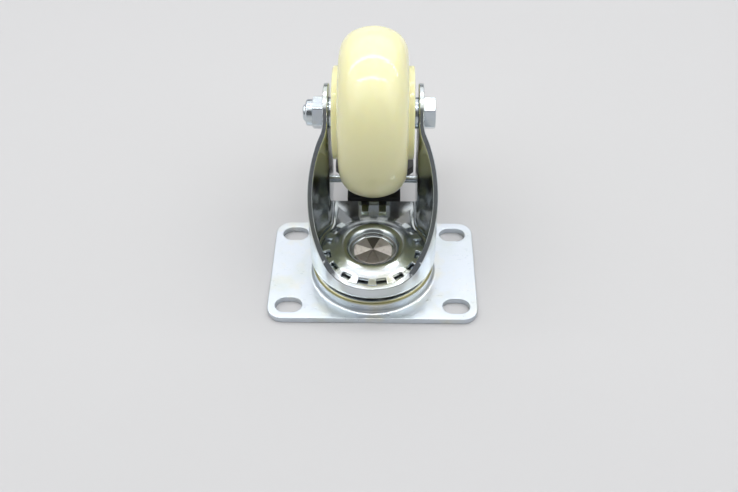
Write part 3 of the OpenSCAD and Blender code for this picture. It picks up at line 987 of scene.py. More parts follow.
def grown(name: str, tree: NodeTree, values: dict[str, object]) -> Object:
    """Plain mesh of a geometry tree.

    Args:
        name: Name of the piece.
        tree: The geometry tree.
        values: Its inputs, by name.

    Returns:
        The piece.
    """
    obj = mesh_object(name)
    nodes = obj.modifiers.new("grown", "NODES")
    nodes.node_group = tree
    for item in tree.interface.items_tree:
        if item.in_out == "INPUT":
            nodes[item.identifier] = values[item.name]
    return baked(obj)


def ball_ring(name: str, balls: int, row_r: float, ball_r: float, finish: Material) -> Object:
    """Row of balls round the Z axis.

    Args:
        name: Name of the piece.
        balls: Number of balls.
        row_r: Radius of the row.
        ball_r: Radius of a ball.
        finish: The balls' finish.

    Returns:
        The piece.
    """
    sizes = {"Balls": balls, "Row radius": row_r * MM, "Ball radius": ball_r * MM, "Finish": finish}
    return grown(name, ring_of_balls(), sizes)


# Pieces


@dataclass
class TopPlate:
    """The mounting plate: a sheet with slots and a drawn boss that holds the upper ball race."""

    finishes: Finishes
    sheet: float = 3
    corner_r: float = 7
    pitch_x: float = 75
    pitch_y: float = 46
    slot_len: float = 12
    slot_w: float = 8.5
    boss_r: float = 27.6
    boss_edge_r: float = 1.6
    foot_r: float = 1.5
    inner_foot_r: float = 0.8
    inner_lift: float = 0.02
    race_edge_r: float = 0.2
    race_trim: float = 4
    bulge_r: float = 5
    bulge_edge_r: float = 0.5
    bulge_trim: float = 3
    hole_r: float = 6.02
    edge: float = 0.35
    segments: int = 192

    def __post_init__(self) -> None:
        """Takes the overall sizes from the solid."""
        low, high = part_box("top_plate")
        self.width, self.depth = (high.x - low.x) / MM, (high.y - low.y) / MM
        self.boss_h = high.z / MM
        self.foot_end_r = self.boss_r + self.foot_r

    def boss_profile(self) -> list[Point]:
        """Section of the boss from the plate's top, over race and hole, to the plate's underside.

        Returns:
            Points as radius and height.
        """
        race_r, row_r = UPPER_ROW.race_r, UPPER_ROW.row_r
        sunk = UPPER_ROW.z - self.boss_h
        groove_half = math.sqrt(race_r**2 - sunk**2)
        groove = math.degrees(math.asin(sunk / race_r)) + self.race_trim
        roof = self.boss_h - self.sheet
        raised = UPPER_ROW.z - roof
        bulge_half = math.sqrt(self.bulge_r**2 - raised**2)
        bulge = math.degrees(math.asin(raised / self.bulge_r)) + self.bulge_trim
        race = (row_r, UPPER_ROW.z)
        inner_r = self.boss_r - self.sheet
        corners = [
            (self.foot_end_r, self.sheet),
            (self.boss_r, self.sheet, self.foot_r),
            (self.boss_r, self.boss_h, self.boss_edge_r),
            (row_r + groove_half, self.boss_h, self.race_edge_r),
            *arc(race, race_r, -groove, -180 + groove, 12),
            (row_r - groove_half, self.boss_h, self.race_edge_r),
            (self.hole_r, self.boss_h),
            (self.hole_r, roof),
            (row_r - bulge_half, roof, self.bulge_edge_r),
            *arc(race, self.bulge_r, -180 + bulge, -bulge, 12),
            (inner_r, roof + self.inner_lift),
            (inner_r, 0, self.inner_foot_r),
            (self.foot_end_r, 0),
        ]
        return rounded(corners, closed=False)

    def slot_loop(self, x: float, y: float) -> list[Point]:
        """Outline of one slot, clockwise, about its centre.

        Args:
            x: Centre across the plate.
            y: Centre along the plate.

        Returns:
            Points of the outline.
        """
        run = (self.slot_len - self.slot_w) / 2
        radius = self.slot_w / 2
        return arc((x + run, y), radius, 90, -90, 20) + arc((x - run, y), radius, -90, -270, 20)

    def edge_loop(self) -> list[Point]:
        """Outline of the plate, anticlockwise.

        Returns:
            Points of the outline.
        """
        x, y = self.width / 2, self.depth / 2
        corners = [(sx * x, sy * y, self.corner_r) for sx, sy in ((1, -1), (1, 1), (-1, 1), (-1, -1))]
        return rounded(corners, steps=14)

    def cut_edge(self, bm: BMesh, loop: Sequence[Point]) -> tuple[list[BMEdge], list[BMEdge]]:
        """Adds the rounded cut edge along a loop.

        Args:
            bm: The plate's mesh.
            loop: Points of the loop, with the sheet on its left.

        Returns:
            The edges of its upper and of its lower end.
        """
        turn = arc((0, 0), self.edge, 90, 0, 3)
        rows = [(self.edge - x, self.sheet - self.edge + z) for x, z in turn]
        rows += [(self.edge - x, self.edge - z) for x, z in reversed(turn)]
        rings = []
        for inset, z in rows:
            ring = []
            for i, point in enumerate(loop):
                run = Vector(loop[(i + 1) % len(loop)]) - Vector(loop[i - 1])
                out = Vector((run.y, -run.x)).normalized()
                ring.append(bm.verts.new(Vector((*(Vector(point) - inset * out), z)) * MM))
            rings.append(ring)
        return joined_rings(bm, rings)

    def build(self) -> None:
        """Builds the plate."""
        obj = mesh_object("mounting_plate")
        angles = [360 * k / self.segments for k in range(self.segments)]
        slots = [(sx * self.pitch_x / 2, sy * self.pitch_y / 2) for sx in (-1, 1) for sy in (-1, 1)]
        loops = [self.edge_loop(), *(self.slot_loop(x, y) for x, y in slots)]
        with edited(obj) as bm:
            rings = [
                [bm.verts.new(Vector((*polar(r, a), z)) * MM) for a in angles]
                for r, z in self.boss_profile()
            ]
            upper, lower = joined_rings(bm, rings)
            for loop in loops:
                top, bottom = self.cut_edge(bm, loop)
                upper += top
                lower += bottom
            bmesh.ops.triangle_fill(bm, use_beauty=True, edges=upper, normal=(0, 0, 1))
            bmesh.ops.triangle_fill(bm, use_beauty=True, edges=lower, normal=(0, 0, -1))
            bmesh.ops.recalc_face_normals(bm, faces=bm.faces)
        kept(shaded(obj), self.finishes.plate_zinc, Body.PLATE, Slot.ZINC, "top_plate")


@dataclass
class SwivelHead:
    """Kingpin, notched lock disc and the two ball rows."""

    finishes: Finishes
    pin_r: float = 6
    flange_r: float = 9.05
    boss_h: float = 9.4
    roof_z: float = 6.4
    head_z: float = 3.8
    head_edge_r: float = 0.8
    peen_r: float = 8.8
    peen_z: float = 15.7
    peen_edge_r: float = 0.5
    peen_step: float = 0.4
    peen_rings: int = 18
    peen_end_step: float = 0.3
    petals: int = 8
    petal_tilt: float = 5
    petal_leans: tuple[float, ...] = (-11, -8, 2, 8, 11, -4, 0, 4)
    star_depth: float = 0.6
    groove_depth: float = 0.35
    groove_slope: float = 2.5
    groove_margin: float = 0.4
    groove_fade: float = 1.4
    dish_z: float = 14
    dish_fillet_r: float = 1.5
    disc_t: float = 1.5
    disc_r: float = 23
    disc_edge: float = 0.22
    ring_r: float = 3.55
    ring_slope: float = 12
    knee_r: float = 17.2
    knee_slope: float = 22
    foot_r: float = 20
    rim_slope: float = 8
    rim_z: float = 16.3
    slope_radii: tuple[float, ...] = (14.9, 15.5, 16.1, 16.7, 17.2, 17.7, 18.2, 18.7)
    notches: int = 16
    notch_w: float = 4.6
    notch_floor_r: float = 19.4
    notch_steps: int = 4
    tooth_steps: int = 6
    balls: int = 18

    def star(self, r: float, h: float, angle: float) -> Point:
        """Lowers a point of the peened head into its petals and the grooves between them.

        Args:
            r: Radius of the point.
            h: Its height.
            angle: Its angle, in degrees.

        Returns:
            The radius and the new height.
        """
        if h < self.peen_z - self.star_depth:
            return r, h
        pitch = 360 / self.petals
        petal, off = divmod(angle + pitch / 2, pitch)
        off -= pitch / 2
        along, across = polar(r, off)
        lean = self.petal_leans[int(petal) % self.petals]
        fall = along * math.tan(math.radians(self.petal_tilt)) + across * math.tan(math.radians(lean))
        in_groove, away = polar(r, pitch / 2 - abs(off))
        ending = (self.peen_r - self.groove_margin - in_groove) / self.groove_fade
        depth = self.groove_depth * min(1.0, max(0.0, ending)) - self.groove_slope * away
        return r, h - fall - max(0.0, depth)

    def kingpin(self) -> None:
        """Builds the kingpin, peened over the disc in a star."""
        rings = [AXIS_R, *(self.peen_step * i for i in range(1, self.peen_rings + 1))]
        rings += [rings[-1] + self.peen_end_step * i for i in range(1, 4)]
        peen_edge, head_edge = self.peen_edge_r, self.head_edge_r
        dish_under = self.dish_z - self.disc_t
        profile = [
            *((r, self.peen_z) for r in rings),
            *arc((self.peen_r - peen_edge, self.peen_z - peen_edge), peen_edge, 90, 0, 5),
            (self.peen_r, self.dish_z + SEAT),
            (self.pin_r, self.dish_z + SEAT),
            (self.pin_r, dish_under - SEAT),
            (self.flange_r, dish_under - SEAT),
            (self.flange_r, self.boss_h + SEAT),
            (self.pin_r, self.boss_h + SEAT),
            (self.pin_r, self.roof_z - SEAT),
            (self.flange_r, self.roof_z - SEAT),
            *arc((self.flange_r - head_edge, self.head_z + head_edge), head_edge, 0, -90, 5),
            (AXIS_R, self.head_z),
        ]
        obj = turned("kingpin_peened", profile, Axis.SWIVEL, segments=384, shape=self.star)
        kept(shaded(obj, 30), self.finishes.peened, Body.PLATE, Slot.BRIGHT, "kingpin")

    def slope_z(self, r: float) -> float:
        """Height of the disc's outer slope, steepest at its knee, and of its rim at a radius.

        Args:
            r: The radius.

        Returns:
            The height.
        """
        ring = math.radians(self.ring_slope)
        low, high = math.tan(ring), math.tan(math.radians(self.knee_slope))
        touch_r = LOWER_ROW.row_r + self.ring_r * math.sin(ring)
        touch_z = LOWER_ROW.z + self.ring_r * math.cos(ring)
        knee_run, foot_run = self.knee_r - touch_r, self.foot_r - self.knee_r
        in_knee = min(r, self.knee_r) - touch_r
        in_foot = min(max(r - self.knee_r, 0.0), foot_run)
        fall = low * in_knee + (high - low) * in_knee**2 / (2 * knee_run)
        fall += high * in_foot - (high - low) * in_foot**2 / (2 * foot_run)
        return touch_z - fall - max(r - self.foot_r, 0.0) * math.tan(math.radians(self.rim_slope))

    def disc_profile(self) -> list[Point]:
        """Top of the disc's section, from its hole to just short of the notches.

        Returns:
            Points as radius and height.
        """
        fillet_z = self.dish_z + self.dish_fillet_r
        reach = self.ring_r + self.dish_fillet_r
        turn = math.degrees(math.asin((fillet_z - LOWER_ROW.z) / reach))
        fillet_r = LOWER_ROW.row_r - reach * math.cos(math.radians(turn))
        over_balls = (LOWER_ROW.row_r, LOWER_ROW.z)
        return [
            (self.pin_r + SEAT, self.dish_z),
            *arc((fillet_r, fillet_z), self.dish_fillet_r, -90, -turn, 8),
            *arc(over_balls, self.ring_r, 180 - turn, 90 - self.ring_slope, 22)[1:],
            *((r, self.slope_z(r)) for r in self.slope_radii),
        ]

    def lower_profile(self, upper: list[Point]) -> list[Point]:
        """Underside that faces each point of the disc's top.

        Args:
            upper: Points of the top, as radius and height.

        Returns:
            Points of the underside.
        """
        ring_end = len(upper) - len(self.slope_radii)
        rim = [(r, self.rim_z - self.disc_t) for r, _ in upper[ring_end:]]
        return beside(upper[:ring_end], self.disc_t) + rim

    def column_angle(self, column: int, edge: float) -> float:
        """Angle of one of the disc's columns.

        Args:
            column: Number of the column.
            edge: How far a notch's edge lies from its middle, in degrees.

        Returns:
            The angle, in degrees.
        """
        pitch = 360 / self.notches
        notch, k = divmod(column, self.notch_steps + self.tooth_steps)
        middle = 90 + (notch + 0.5) * pitch
        if k <= self.notch_steps:
            return middle + edge * (2 * k / self.notch_steps - 1)
        return middle + edge + (pitch - 2 * edge) * (k - self.notch_steps) / self.tooth_steps

    def lock_disc(self) -> None:
        """Builds the disc as one dished sheet with notches in its rim."""
        half = self.notch_w / 2
        steps = self.notch_steps + self.tooth_steps
        columns = self.notches * steps
        floor_edge = math.degrees(math.atan2(half, self.notch_floor_r))
        foot_edge, rim_edge = (math.degrees(math.asin(half / r)) for r in (self.foot_r, self.disc_r))
        upper = self.disc_profile()
        vertices = []
        for under, profile in ((False, upper), (True, self.lower_profile(upper))):
            for column in range(columns):
                off = floor_edge * min(1.0, abs(2 * (column % steps) / self.notch_steps - 1))
                floor_r = self.notch_floor_r / math.cos(math.radians(off))
                line = [(r, floor_edge, z) for r, z in profile]
                for r, edge in ((floor_r, floor_edge), (self.foot_r, foot_edge), (self.disc_r, rim_edge)):
                    line.append((r, edge, self.rim_z - self.disc_t if under else self.slope_z(r)))
                vertices += [(*polar(r, self.column_angle(column, edge)), z) for r, edge, z in line]
        length = len(vertices) // (2 * columns)
        notch_start = len(upper)
        surface = []
        for column in range(columns):
            here, ahead = column * length, (column + 1) % columns * length
            last = length - 1 if column % steps >= self.notch_steps else notch_start
            surface += [(here + i, here + i + 1, ahead + i + 1, ahead + i) for i in range(last)]
        faces = doubled_sheet(surface, columns * length)
        obj = faced_outwards(mesh_object("lock_disc_notched", vertices, faces))
        clear_loose(obj)
        softened(obj, self.disc_edge, angle=50, steps=2)
        kept(shaded(obj, 6), self.finishes.disc_zinc, Body.PLATE, Slot.ZINC, "lock_disc")

    def ball_rows(self) -> None:
        """Builds the two rows of balls."""
        for name, row, body, node in (
            ("upper_ball_ring", UPPER_ROW, Body.UPPER_ROW, "upper_balls"),
            ("lower_ball_ring", LOWER_ROW, Body.LOWER_ROW, "lower_balls"),
        ):
            obj = ball_ring(name, self.balls, row.row_r, row.ball_r, self.finishes.ball)
            placed(obj, Matrix.Translation((0, 0, row.z)))
            kept(obj, self.finishes.ball, body, Slot.BRIGHT, node)

    def build(self) -> None:
        """Builds the swivel head."""
        self.kingpin()
        self.lock_disc()
        self.ball_rows()


@dataclass
class Fork:
    """The pressed fork: a round cup under the swivel that runs into two parallel arms."""

    finishes: Finishes
    sheet: float = 2.2
    cup_r: float = 28.3
    floor_z: float = 11.2
    floor_rear: float = 35.5
    floor_thinning: float = 0.9
    hole_r: float = 11.95
    lip_z: float = 18.8
    lip_curve_r: float = 12
    slope: float = 50.8
    bend_r: float = 3.2
    arm_bend_r: float = 7
    ear_r: float = 13
    lug_r: float = 8
    lug_fillet_r: float = 1
    pin_hole_r: float = 1.82
    hole_reach: float = 60
    edge: float = 0.42
    foot_run: float = 0.5
    flat_area: float = 1000
    flat_border: float = 0.6
    near: float = 0.001
    bend_steps: int = 6
    corner_steps: int = 8
    run_steps: int = 6
    rear_steps: int = 20
    cup_steps: int = 120

    def __post_init__(self) -> None:
        """Works out the side view's tangent points and the plan's bends."""
        self.ear = Axis.AXLE.origin().yz
        self.pin = Axis.PIN.origin().yz
        self.up_slope = Vector(polar(1, self.slope))
        self.ear_touch = self.ear + self.ear_r * Vector((-self.up_slope.y, self.up_slope.x))
        self.lip_corner = self.ear_touch - self.up_slope * (self.ear_touch.y - self.lip_z) / self.up_slope.y
        self.bend_x = ARM_OUT + self.arm_bend_r
        self.bend_y = math.sqrt((self.cup_r + self.arm_bend_r) ** 2 - self.bend_x**2)
        self.cup_end = math.degrees(math.atan2(self.bend_y, self.bend_x))
        self.bend_top = self.floor_z + self.bend_r

    def edge_height(self, y: float) -> float:
        """Height of the arms' front edge at a place along the trail.

        Args:
            y: The place.

        Returns:
            The height.
        """
        reach = self.lip_curve_r * math.tan(math.radians(self.slope / 2))
        start = self.lip_corner.x - reach
        end = self.lip_corner.x + reach * self.up_slope.x
        if y <= start:
            return self.lip_z
        if y < end:
            return self.lip_z + self.lip_curve_r - math.sqrt(self.lip_curve_r**2 - (y - start) ** 2)
        return self.lip_z + (y - self.lip_corner.x) * self.up_slope.y / self.up_slope.x

    def plan(self) -> list[tuple[Vector, Vector]]:
        """Outside of the wall in plan, from the right arm's foot end round the front to the left one's.

        Returns:
            Points and their outward directions, for the straight run, the bend and the cup of both sides.
        """
        half: list[tuple[Vector, Vector]] = []
        for i in range(self.run_steps):
            y = self.floor_rear + (self.bend_y - self.floor_rear) * i / self.run_steps
            half.append((Vector((ARM_OUT, y)), Vector((1, 0))))
        centre = Vector((self.bend_x, self.bend_y))
        for point in arc((0, 0), 1, 180, 180 + self.cup_end, self.corner_steps)[:-1]:
            half.append((centre + self.arm_bend_r * Vector(point), -Vector(point)))
        for point in arc((0, 0), 1, self.cup_end, -90, self.cup_steps // 2)[:-1]:
            half.append((self.cup_r * Vector(point), Vector(point)))
        front = [(Vector((0, -self.cup_r)), Vector((0, -1)))]
        flip = Matrix(((-1, 0), (0, 1)))
        return half + front + [(flip @ p, flip @ n) for p, n in reversed(half)]

    def cup_columns(self) -> list[int]:
        """Numbers of the plan's points that lie on the round cup."""
        return [i for i, (p, n) in enumerate(self.plan()) if (p - n * self.cup_r).length < self.near]

    def before_arms(self, place: Vector) -> bool:
        """Whether a point of the plan lies before the arms' flat part."""
        return place.y < self.bend_y + self.near

    def floor_section(self, under: bool) -> list[Point]:
        """Section of the floor from the cup's bend to the hole.

        Args:
            under: Whether it is the underside, with the upper race, or the top, with the bulge over it.

        Returns:
            Points as radius and height.
        """
        z = self.floor_z if under else self.floor_z + self.sheet
        radius = UPPER_ROW.race_r if under else UPPER_ROW.race_r + self.sheet - self.floor_thinning
        start = math.degrees(math.asin((z - UPPER_ROW.z) / radius))
        section = arc((UPPER_ROW.row_r, UPPER_ROW.z), radius, start, 180 - start, 14)
        section.insert(0, (section[0][0] + self.foot_run, z))
        low = math.degrees(math.acos((LOWER_ROW.row_r - self.hole_r) / LOWER_ROW.race_r))
        top = math.degrees(math.asin((LOWER_ROW.z - self.floor_z - self.sheet) / LOWER_ROW.race_r))
        groove = arc((LOWER_ROW.row_r, LOWER_ROW.z), LOWER_ROW.race_r, -top, -180 + low, 10)
        return section + ([(r, z) for r, _ in groove] if under else groove)

    def floor_angles(self) -> list[float]:
        """Angles of the floor's columns: those of the cup, then those of the rear patch.

        Returns:
            The angles, in degrees.
        """
        plan = self.plan()
        front = [math.degrees(math.atan2(plan[i][0].y, plan[i][0].x)) for i in self.cup_columns()]
        count = 2 * (self.run_steps + self.corner_steps) + self.rear_steps
        rear = [180 - self.cup_end + (2 * self.cup_end - 180) * i / count for i in range(1, count)]
        return front + rear

    def arm_outline(self) -> list[Point]:
        """Free outline of an arm's flat part, from its front edge over the ear down to the lug's foot.

        Returns:
            Points as place along the trail and height.
        """
        fillet_y = self.floor_rear + self.lug_fillet_r
        drop = math.sqrt((self.lug_r + self.lug_fillet_r) ** 2 - (self.pin.x - fillet_y) ** 2)
        lug_end = math.degrees(math.atan2(-drop, fillet_y - self.pin.x))
        ear = arc(tuple(self.ear), self.ear_r, 90 + self.slope, 0, 30)
        lug = arc(tuple(self.pin), self.lug_r, 0, lug_end, 20)
        foot = arc((fillet_y, self.pin.y - drop), self.lug_fillet_r, lug_end + 180, 180, 6)
        return ear + lug + foot[1:]

    def skin(self, under: bool) -> list[Vector]:
        """Vertices of one side of the sheet.

        Args:
            under: Whether it is the outside, below and round the fork, or the inside.

        Returns:
            Columns along the wall, then the floor's rings, its rear edge and the arms' outlines.
        """
        inset = 0.0 if under else self.sheet
        bend = self.bend_r - inset
        base = self.floor_z + inset
        points: list[Vector] = []
        for place, out in self.plan():
            points.append(Vector((*(place - out * (inset + bend + self.foot_run)), base)))
            for x, z in arc((0, 0), bend, -90, 0, self.bend_steps):
                points.append(Vector((*(place - out * (inset + bend - x)), base + bend + z)))
            wall = place - out * inset
            top = self.edge_height(wall.y) if self.before_arms(place) else self.bend_top
            points.append(Vector((*wall, top)))
        section = self.floor_section(under)
        for angle in self.floor_angles():
            points += [Vector((*polar(r, angle), z)) for r, z in section]
        half = ARM_OUT - self.bend_r
        for i in range(1, self.rear_steps):
            points.append(Vector((half * (1 - 2 * i / self.rear_steps), self.floor_rear, base)))
        for side in (Side.RIGHT, Side.LEFT):
            points += [Vector((side.value * (ARM_OUT - inset), y, z)) for y, z in self.arm_outline()]
        return points

    def faces(self) -> list[tuple[int, ...]]:
        """Faces of one side of the sheet, over the vertices that skin() gives.

        Returns:
            Corner indices of the faces.
        """
        plan = self.plan()
        tall = self.bend_steps + 3
        faces = []
        for i in range(len(plan) - 1):
            flat = not (self.before_arms(plan[i][0]) and self.before_arms(plan[i + 1][0]))
            for a in range(tall - 1 - flat):
                here, ahead = i * tall + a, (i + 1) * tall + a
                faces.append((here, here + 1, ahead + 1, ahead))
        cup = self.cup_columns()
        floor_first = len(plan) * tall
        section = len(self.floor_section(True))
        angles = len(self.floor_angles())

        def ring(column: int, k: int) -> int:
            """Vertex of the floor's ring k at a column."""
            return floor_first + column % angles * section + k

        for column in range(angles):
            for k in range(section - 1):
                here, ahead = ring(column, k), ring(column + 1, k)
                faces.append((here, here + 1, ahead + 1, ahead))
        rear_first = floor_first + angles * section
        rear = [rear_first + i for i in reversed(range(self.rear_steps - 1))]
        left = [i * tall for i in range(cup[-1] + 1, len(plan))]
        right = [i * tall for i in range(cup[0] + 1)]
        border = [i * tall for i in cup] + left + rear + right
        for i in range(len(border) - 1):
            faces.append((border[i], border[i + 1], ring(i + 1, 0), ring(i, 0)))
        outline = len(self.arm_outline())
        arm_first = rear_first + self.rear_steps - 1
        last = len(plan) - 1
        for first, columns, turn in (
            (arm_first, range(self.run_steps + 1), 1),
            (arm_first + outline, range(last, last - self.run_steps - 1, -1), -1),
        ):
            foot = [i * tall + tall - 2 for i in columns]
            front = columns[-1] * tall + tall - 1
            faces.append((*range(first, first + outline), *foot, front)[::turn])
        return faces

    def frame_flats(self, obj: Object) -> None:
        """Sets a narrow border inside the arms' flat sides, so that they mirror the light evenly.

        Args:
            obj: The fork.
        """
        with edited(obj) as bm:
            flats = [face for face in bm.faces if face.calc_area() > self.flat_area * MM**2]
            border = self.flat_border * MM
            bmesh.ops.inset_individual(bm, faces=flats, thickness=border, use_even_offset=True)

    def drill(self, name: str, radius: float, axis: Axis) -> Object:
        """Cylinder that cuts a hole through both arms.

        Args:
            name: Name of the hole.
            radius: Its radius.
            axis: Axis that it lies on.

        Returns:
            The cylinder.
        """
        ends = (-self.hole_reach, self.hole_reach)
        profile = [(AXIS_R / 2, ends[0]), (radius, ends[0]), (radius, ends[1]), (AXIS_R / 2, ends[1])]
        return turned(name, profile, axis, segments=64)

    def build(self) -> None:
        """Builds the fork."""
        outside, inside = self.skin(True), self.skin(False)
        faces = doubled_sheet(self.faces(), len(outside))
        obj = faced_outwards(mesh_object("fork_pressing", outside + inside, faces))
        clear_loose(obj)
        softened(obj, self.edge, angle=60)
        self.frame_flats(obj)
        bore = self.drill("bore", AXLE_BORE_R, Axis.AXLE)
        cut(obj, [bore, self.drill("pin_hole", self.pin_hole_r, Axis.PIN)])
        kept(shaded(obj, 40), self.finishes.zinc, Body.FORK, Slot.ZINC, "fork")


@dataclass
class AxleSet:
    """Axle bolt, locking nut and the collars beside the bearings."""

    finishes: Finishes
    arm_in: float = 19.7
    bearing_face: float = 17.5
    flats: float = 13
    corner_share: float = 0.988
    cone_steps: int = 24
    washer_h: float = 0.25
    washer_inset: float = 0.3
    round_h: float = 0.1
    head_h: float = 5.3
    head_turned: float = -43
    head_inset: float = 0.4
    head_flat_inset: float = 0.3
    head_cone_slope: float = 0.5 / 1.3
    nut_turned: float = -50
    nut_hex_h: float = 5
    nut_inset: float = 0.2
    nut_cone_h: float = 3.2
    nut_collar_h: float = 3
    collar_r: float = 5.9
    collar_edge_r: float = 1
    bolt_r: float = 4
    bolt_over: float = 1.2
    bolt_chamfer: float = 0.45
    thread_pitch: float = 1.25
    thread_turns: float = 1.6
    thread_depth: float = 0.55
    thread_start: float = 3
    thread_end: float = 2.6
    ridge_out: float = 0.12
    ridge_r: float = 0.42
    spacer_r: float = 7
    spacer_edge_r: float = 0.25
    sleeve_r: float = 5.9
    sleeve_h: float = 0.5

    def hexagon(self, first: float, low: float, high: float) -> Shape:
        """Limits a stretch of a turned form to the hexagon, whose corners are a little worn.

        Args:
            first: Angle of a corner, in degrees.
            low: Where the stretch starts along the axle.
            high: Where it ends.

        Returns:
            Function of radius, height and angle that gives the new radius and the height.
        """
        flat_r = self.flats / 2
        corner_r = flat_r / math.cos(math.radians(30)) * self.corner_share

        def limit(r: float, h: float, angle: float) -> Point:
            """Radius kept inside the flats.

            Args:
                r: The radius.
                h: The height.
                angle: The angle, in degrees.

            Returns:
                The radius and the height.
            """
            if not low <= h <= high:
                return r, h
            off = (angle - first) % 60 - 30
            return min(r, flat_r / math.cos(math.radians(off)), corner_r), h

        return limit

    def hex_side(self, start_r: float, top: float, drop: float) -> list[Point]:
        """Section of a hexagon's side, with the cone that bevels its corners and the washer face.

        Args:
            start_r: Radius where the cone starts.
            top: Height where it starts.
            drop: How far it falls before it is clear of the corners.

        Returns:
            Points down to the arm.
        """
        reach, steps = self.flats - start_r, self.cone_steps
        cone = [(start_r + reach * i / steps, top - drop * i / steps) for i in range(steps + 1)]
        return [*cone, (self.flats, ARM_OUT + self.washer_h), (self.flats / 2 - self.washer_inset, ARM_OUT)]

    def bolt(self) -> None:
        """Builds the bolt: hexagon head on the right, threaded end on the left."""
        top = ARM_OUT + self.head_h
        face_r = self.flats / 2 - self.head_inset
        end = -(ARM_OUT + self.nut_hex_h + self.nut_collar_h + self.bolt_over)
        minor_r = self.bolt_r - self.thread_depth
        profile = [
            (AXIS_R, top),
            (face_r - self.head_flat_inset, top),
            *self.hex_side(face_r, top, (self.flats - face_r) * self.head_cone_slope),
            (self.bolt_r, ARM_OUT),
            (self.bolt_r, end + self.thread_start),
            (minor_r, end + self.thread_end),
            (minor_r, end + self.bolt_chamfer),
            (minor_r - self.bolt_chamfer, end),
            (AXIS_R, end),
        ]
        shape = self.hexagon(self.head_turned, ARM_OUT + self.round_h, top)
        obj = turned("axle_bolt_hex", profile, Axis.AXLE, start=self.head_turned, shape=shape)
        kept(shaded(obj, 25), self.finishes.fastener_zinc, Body.FORK, Slot.ZINC, "axle_bolt")
        self.thread(end + self.bolt_chamfer, minor_r)

    def thread(self, start: float, minor_r: float) -> None:
        """Builds the thread's ridge on the bolt's free end.

        Args:
            start: Where it starts along the axle.
            minor_r: Radius of the thread's root.
        """
        sizes = {
            "Radius": (minor_r + self.ridge_out) * MM,
            "Turns": self.thread_turns,
            "Length": self.thread_turns * self.thread_pitch * MM,
            "Ridge": self.ridge_r * MM,
            "Finish": self.finishes.fastener_zinc,
        }
        ridge = grown("axle_thread", thread_ridge(), sizes)
        placed(ridge, Axis.AXLE.matrix() @ Matrix.Translation((0, 0, start)))
        kept(shaded(ridge), self.finishes.fastener_zinc, Body.FORK, Slot.ZINC)

    def nut(self) -> None:
        """Builds the nut: hexagon, and round collar that holds the insert."""
        shoulder = ARM_OUT + self.nut_hex_h
        top = shoulder + self.nut_collar_h
        collar = [(AXLE_BORE_R, top), (self.collar_r, top, self.collar_edge_r), (self.collar_r, shoulder)]
        profile = [
            *rounded(collar, closed=False),
            *self.hex_side(self.flats / 2 - self.nut_inset, shoulder, self.nut_cone_h),
            (AXLE_BORE_R, ARM_OUT),
        ]
        shape = self.hexagon(self.nut_turned, -shoulder, -ARM_OUT - self.round_h)
        section = [(r, -h) for r, h in profile]
        obj = turned("axle_nut_hex", section, Axis.AXLE, start=self.nut_turned, shape=shape)
        kept(shaded(obj, 25), self.finishes.fastener_zinc, Body.FORK, Slot.ZINC, "axle_nut")

    def collars(self) -> None:
        """Builds the two collars that keep the bearings off the arms."""
        step = self.bearing_face + self.sleeve_h
        corners = [
            (AXLE_BORE_R, self.bearing_face),
            (self.sleeve_r, self.bearing_face),
            (self.sleeve_r, step),
            (self.spacer_r, step, self.spacer_edge_r),
            (self.spacer_r, self.arm_in, self.spacer_edge_r),
            (AXLE_BORE_R, self.arm_in),
        ]
        for side in Side:
            name = side.name.lower()
            profile = [(r, side.value * h) for r, h in rounded(corners, steps=3)]
            obj = turned(f"collar_turned_{name}", profile, Axis.AXLE, segments=96)
            kept(shaded(obj), self.finishes.fastener_zinc, Body.FORK, Slot.ZINC, f"collar_{name}")

    def build(self) -> None:
        """Builds the axle's pieces and dresses the hidden ones."""
        self.bolt()
        self.nut()
        self.collars()
        dress("nut_insert", self.finishes.black)
        dress("axle_sleeve", self.finishes.fastener_zinc)


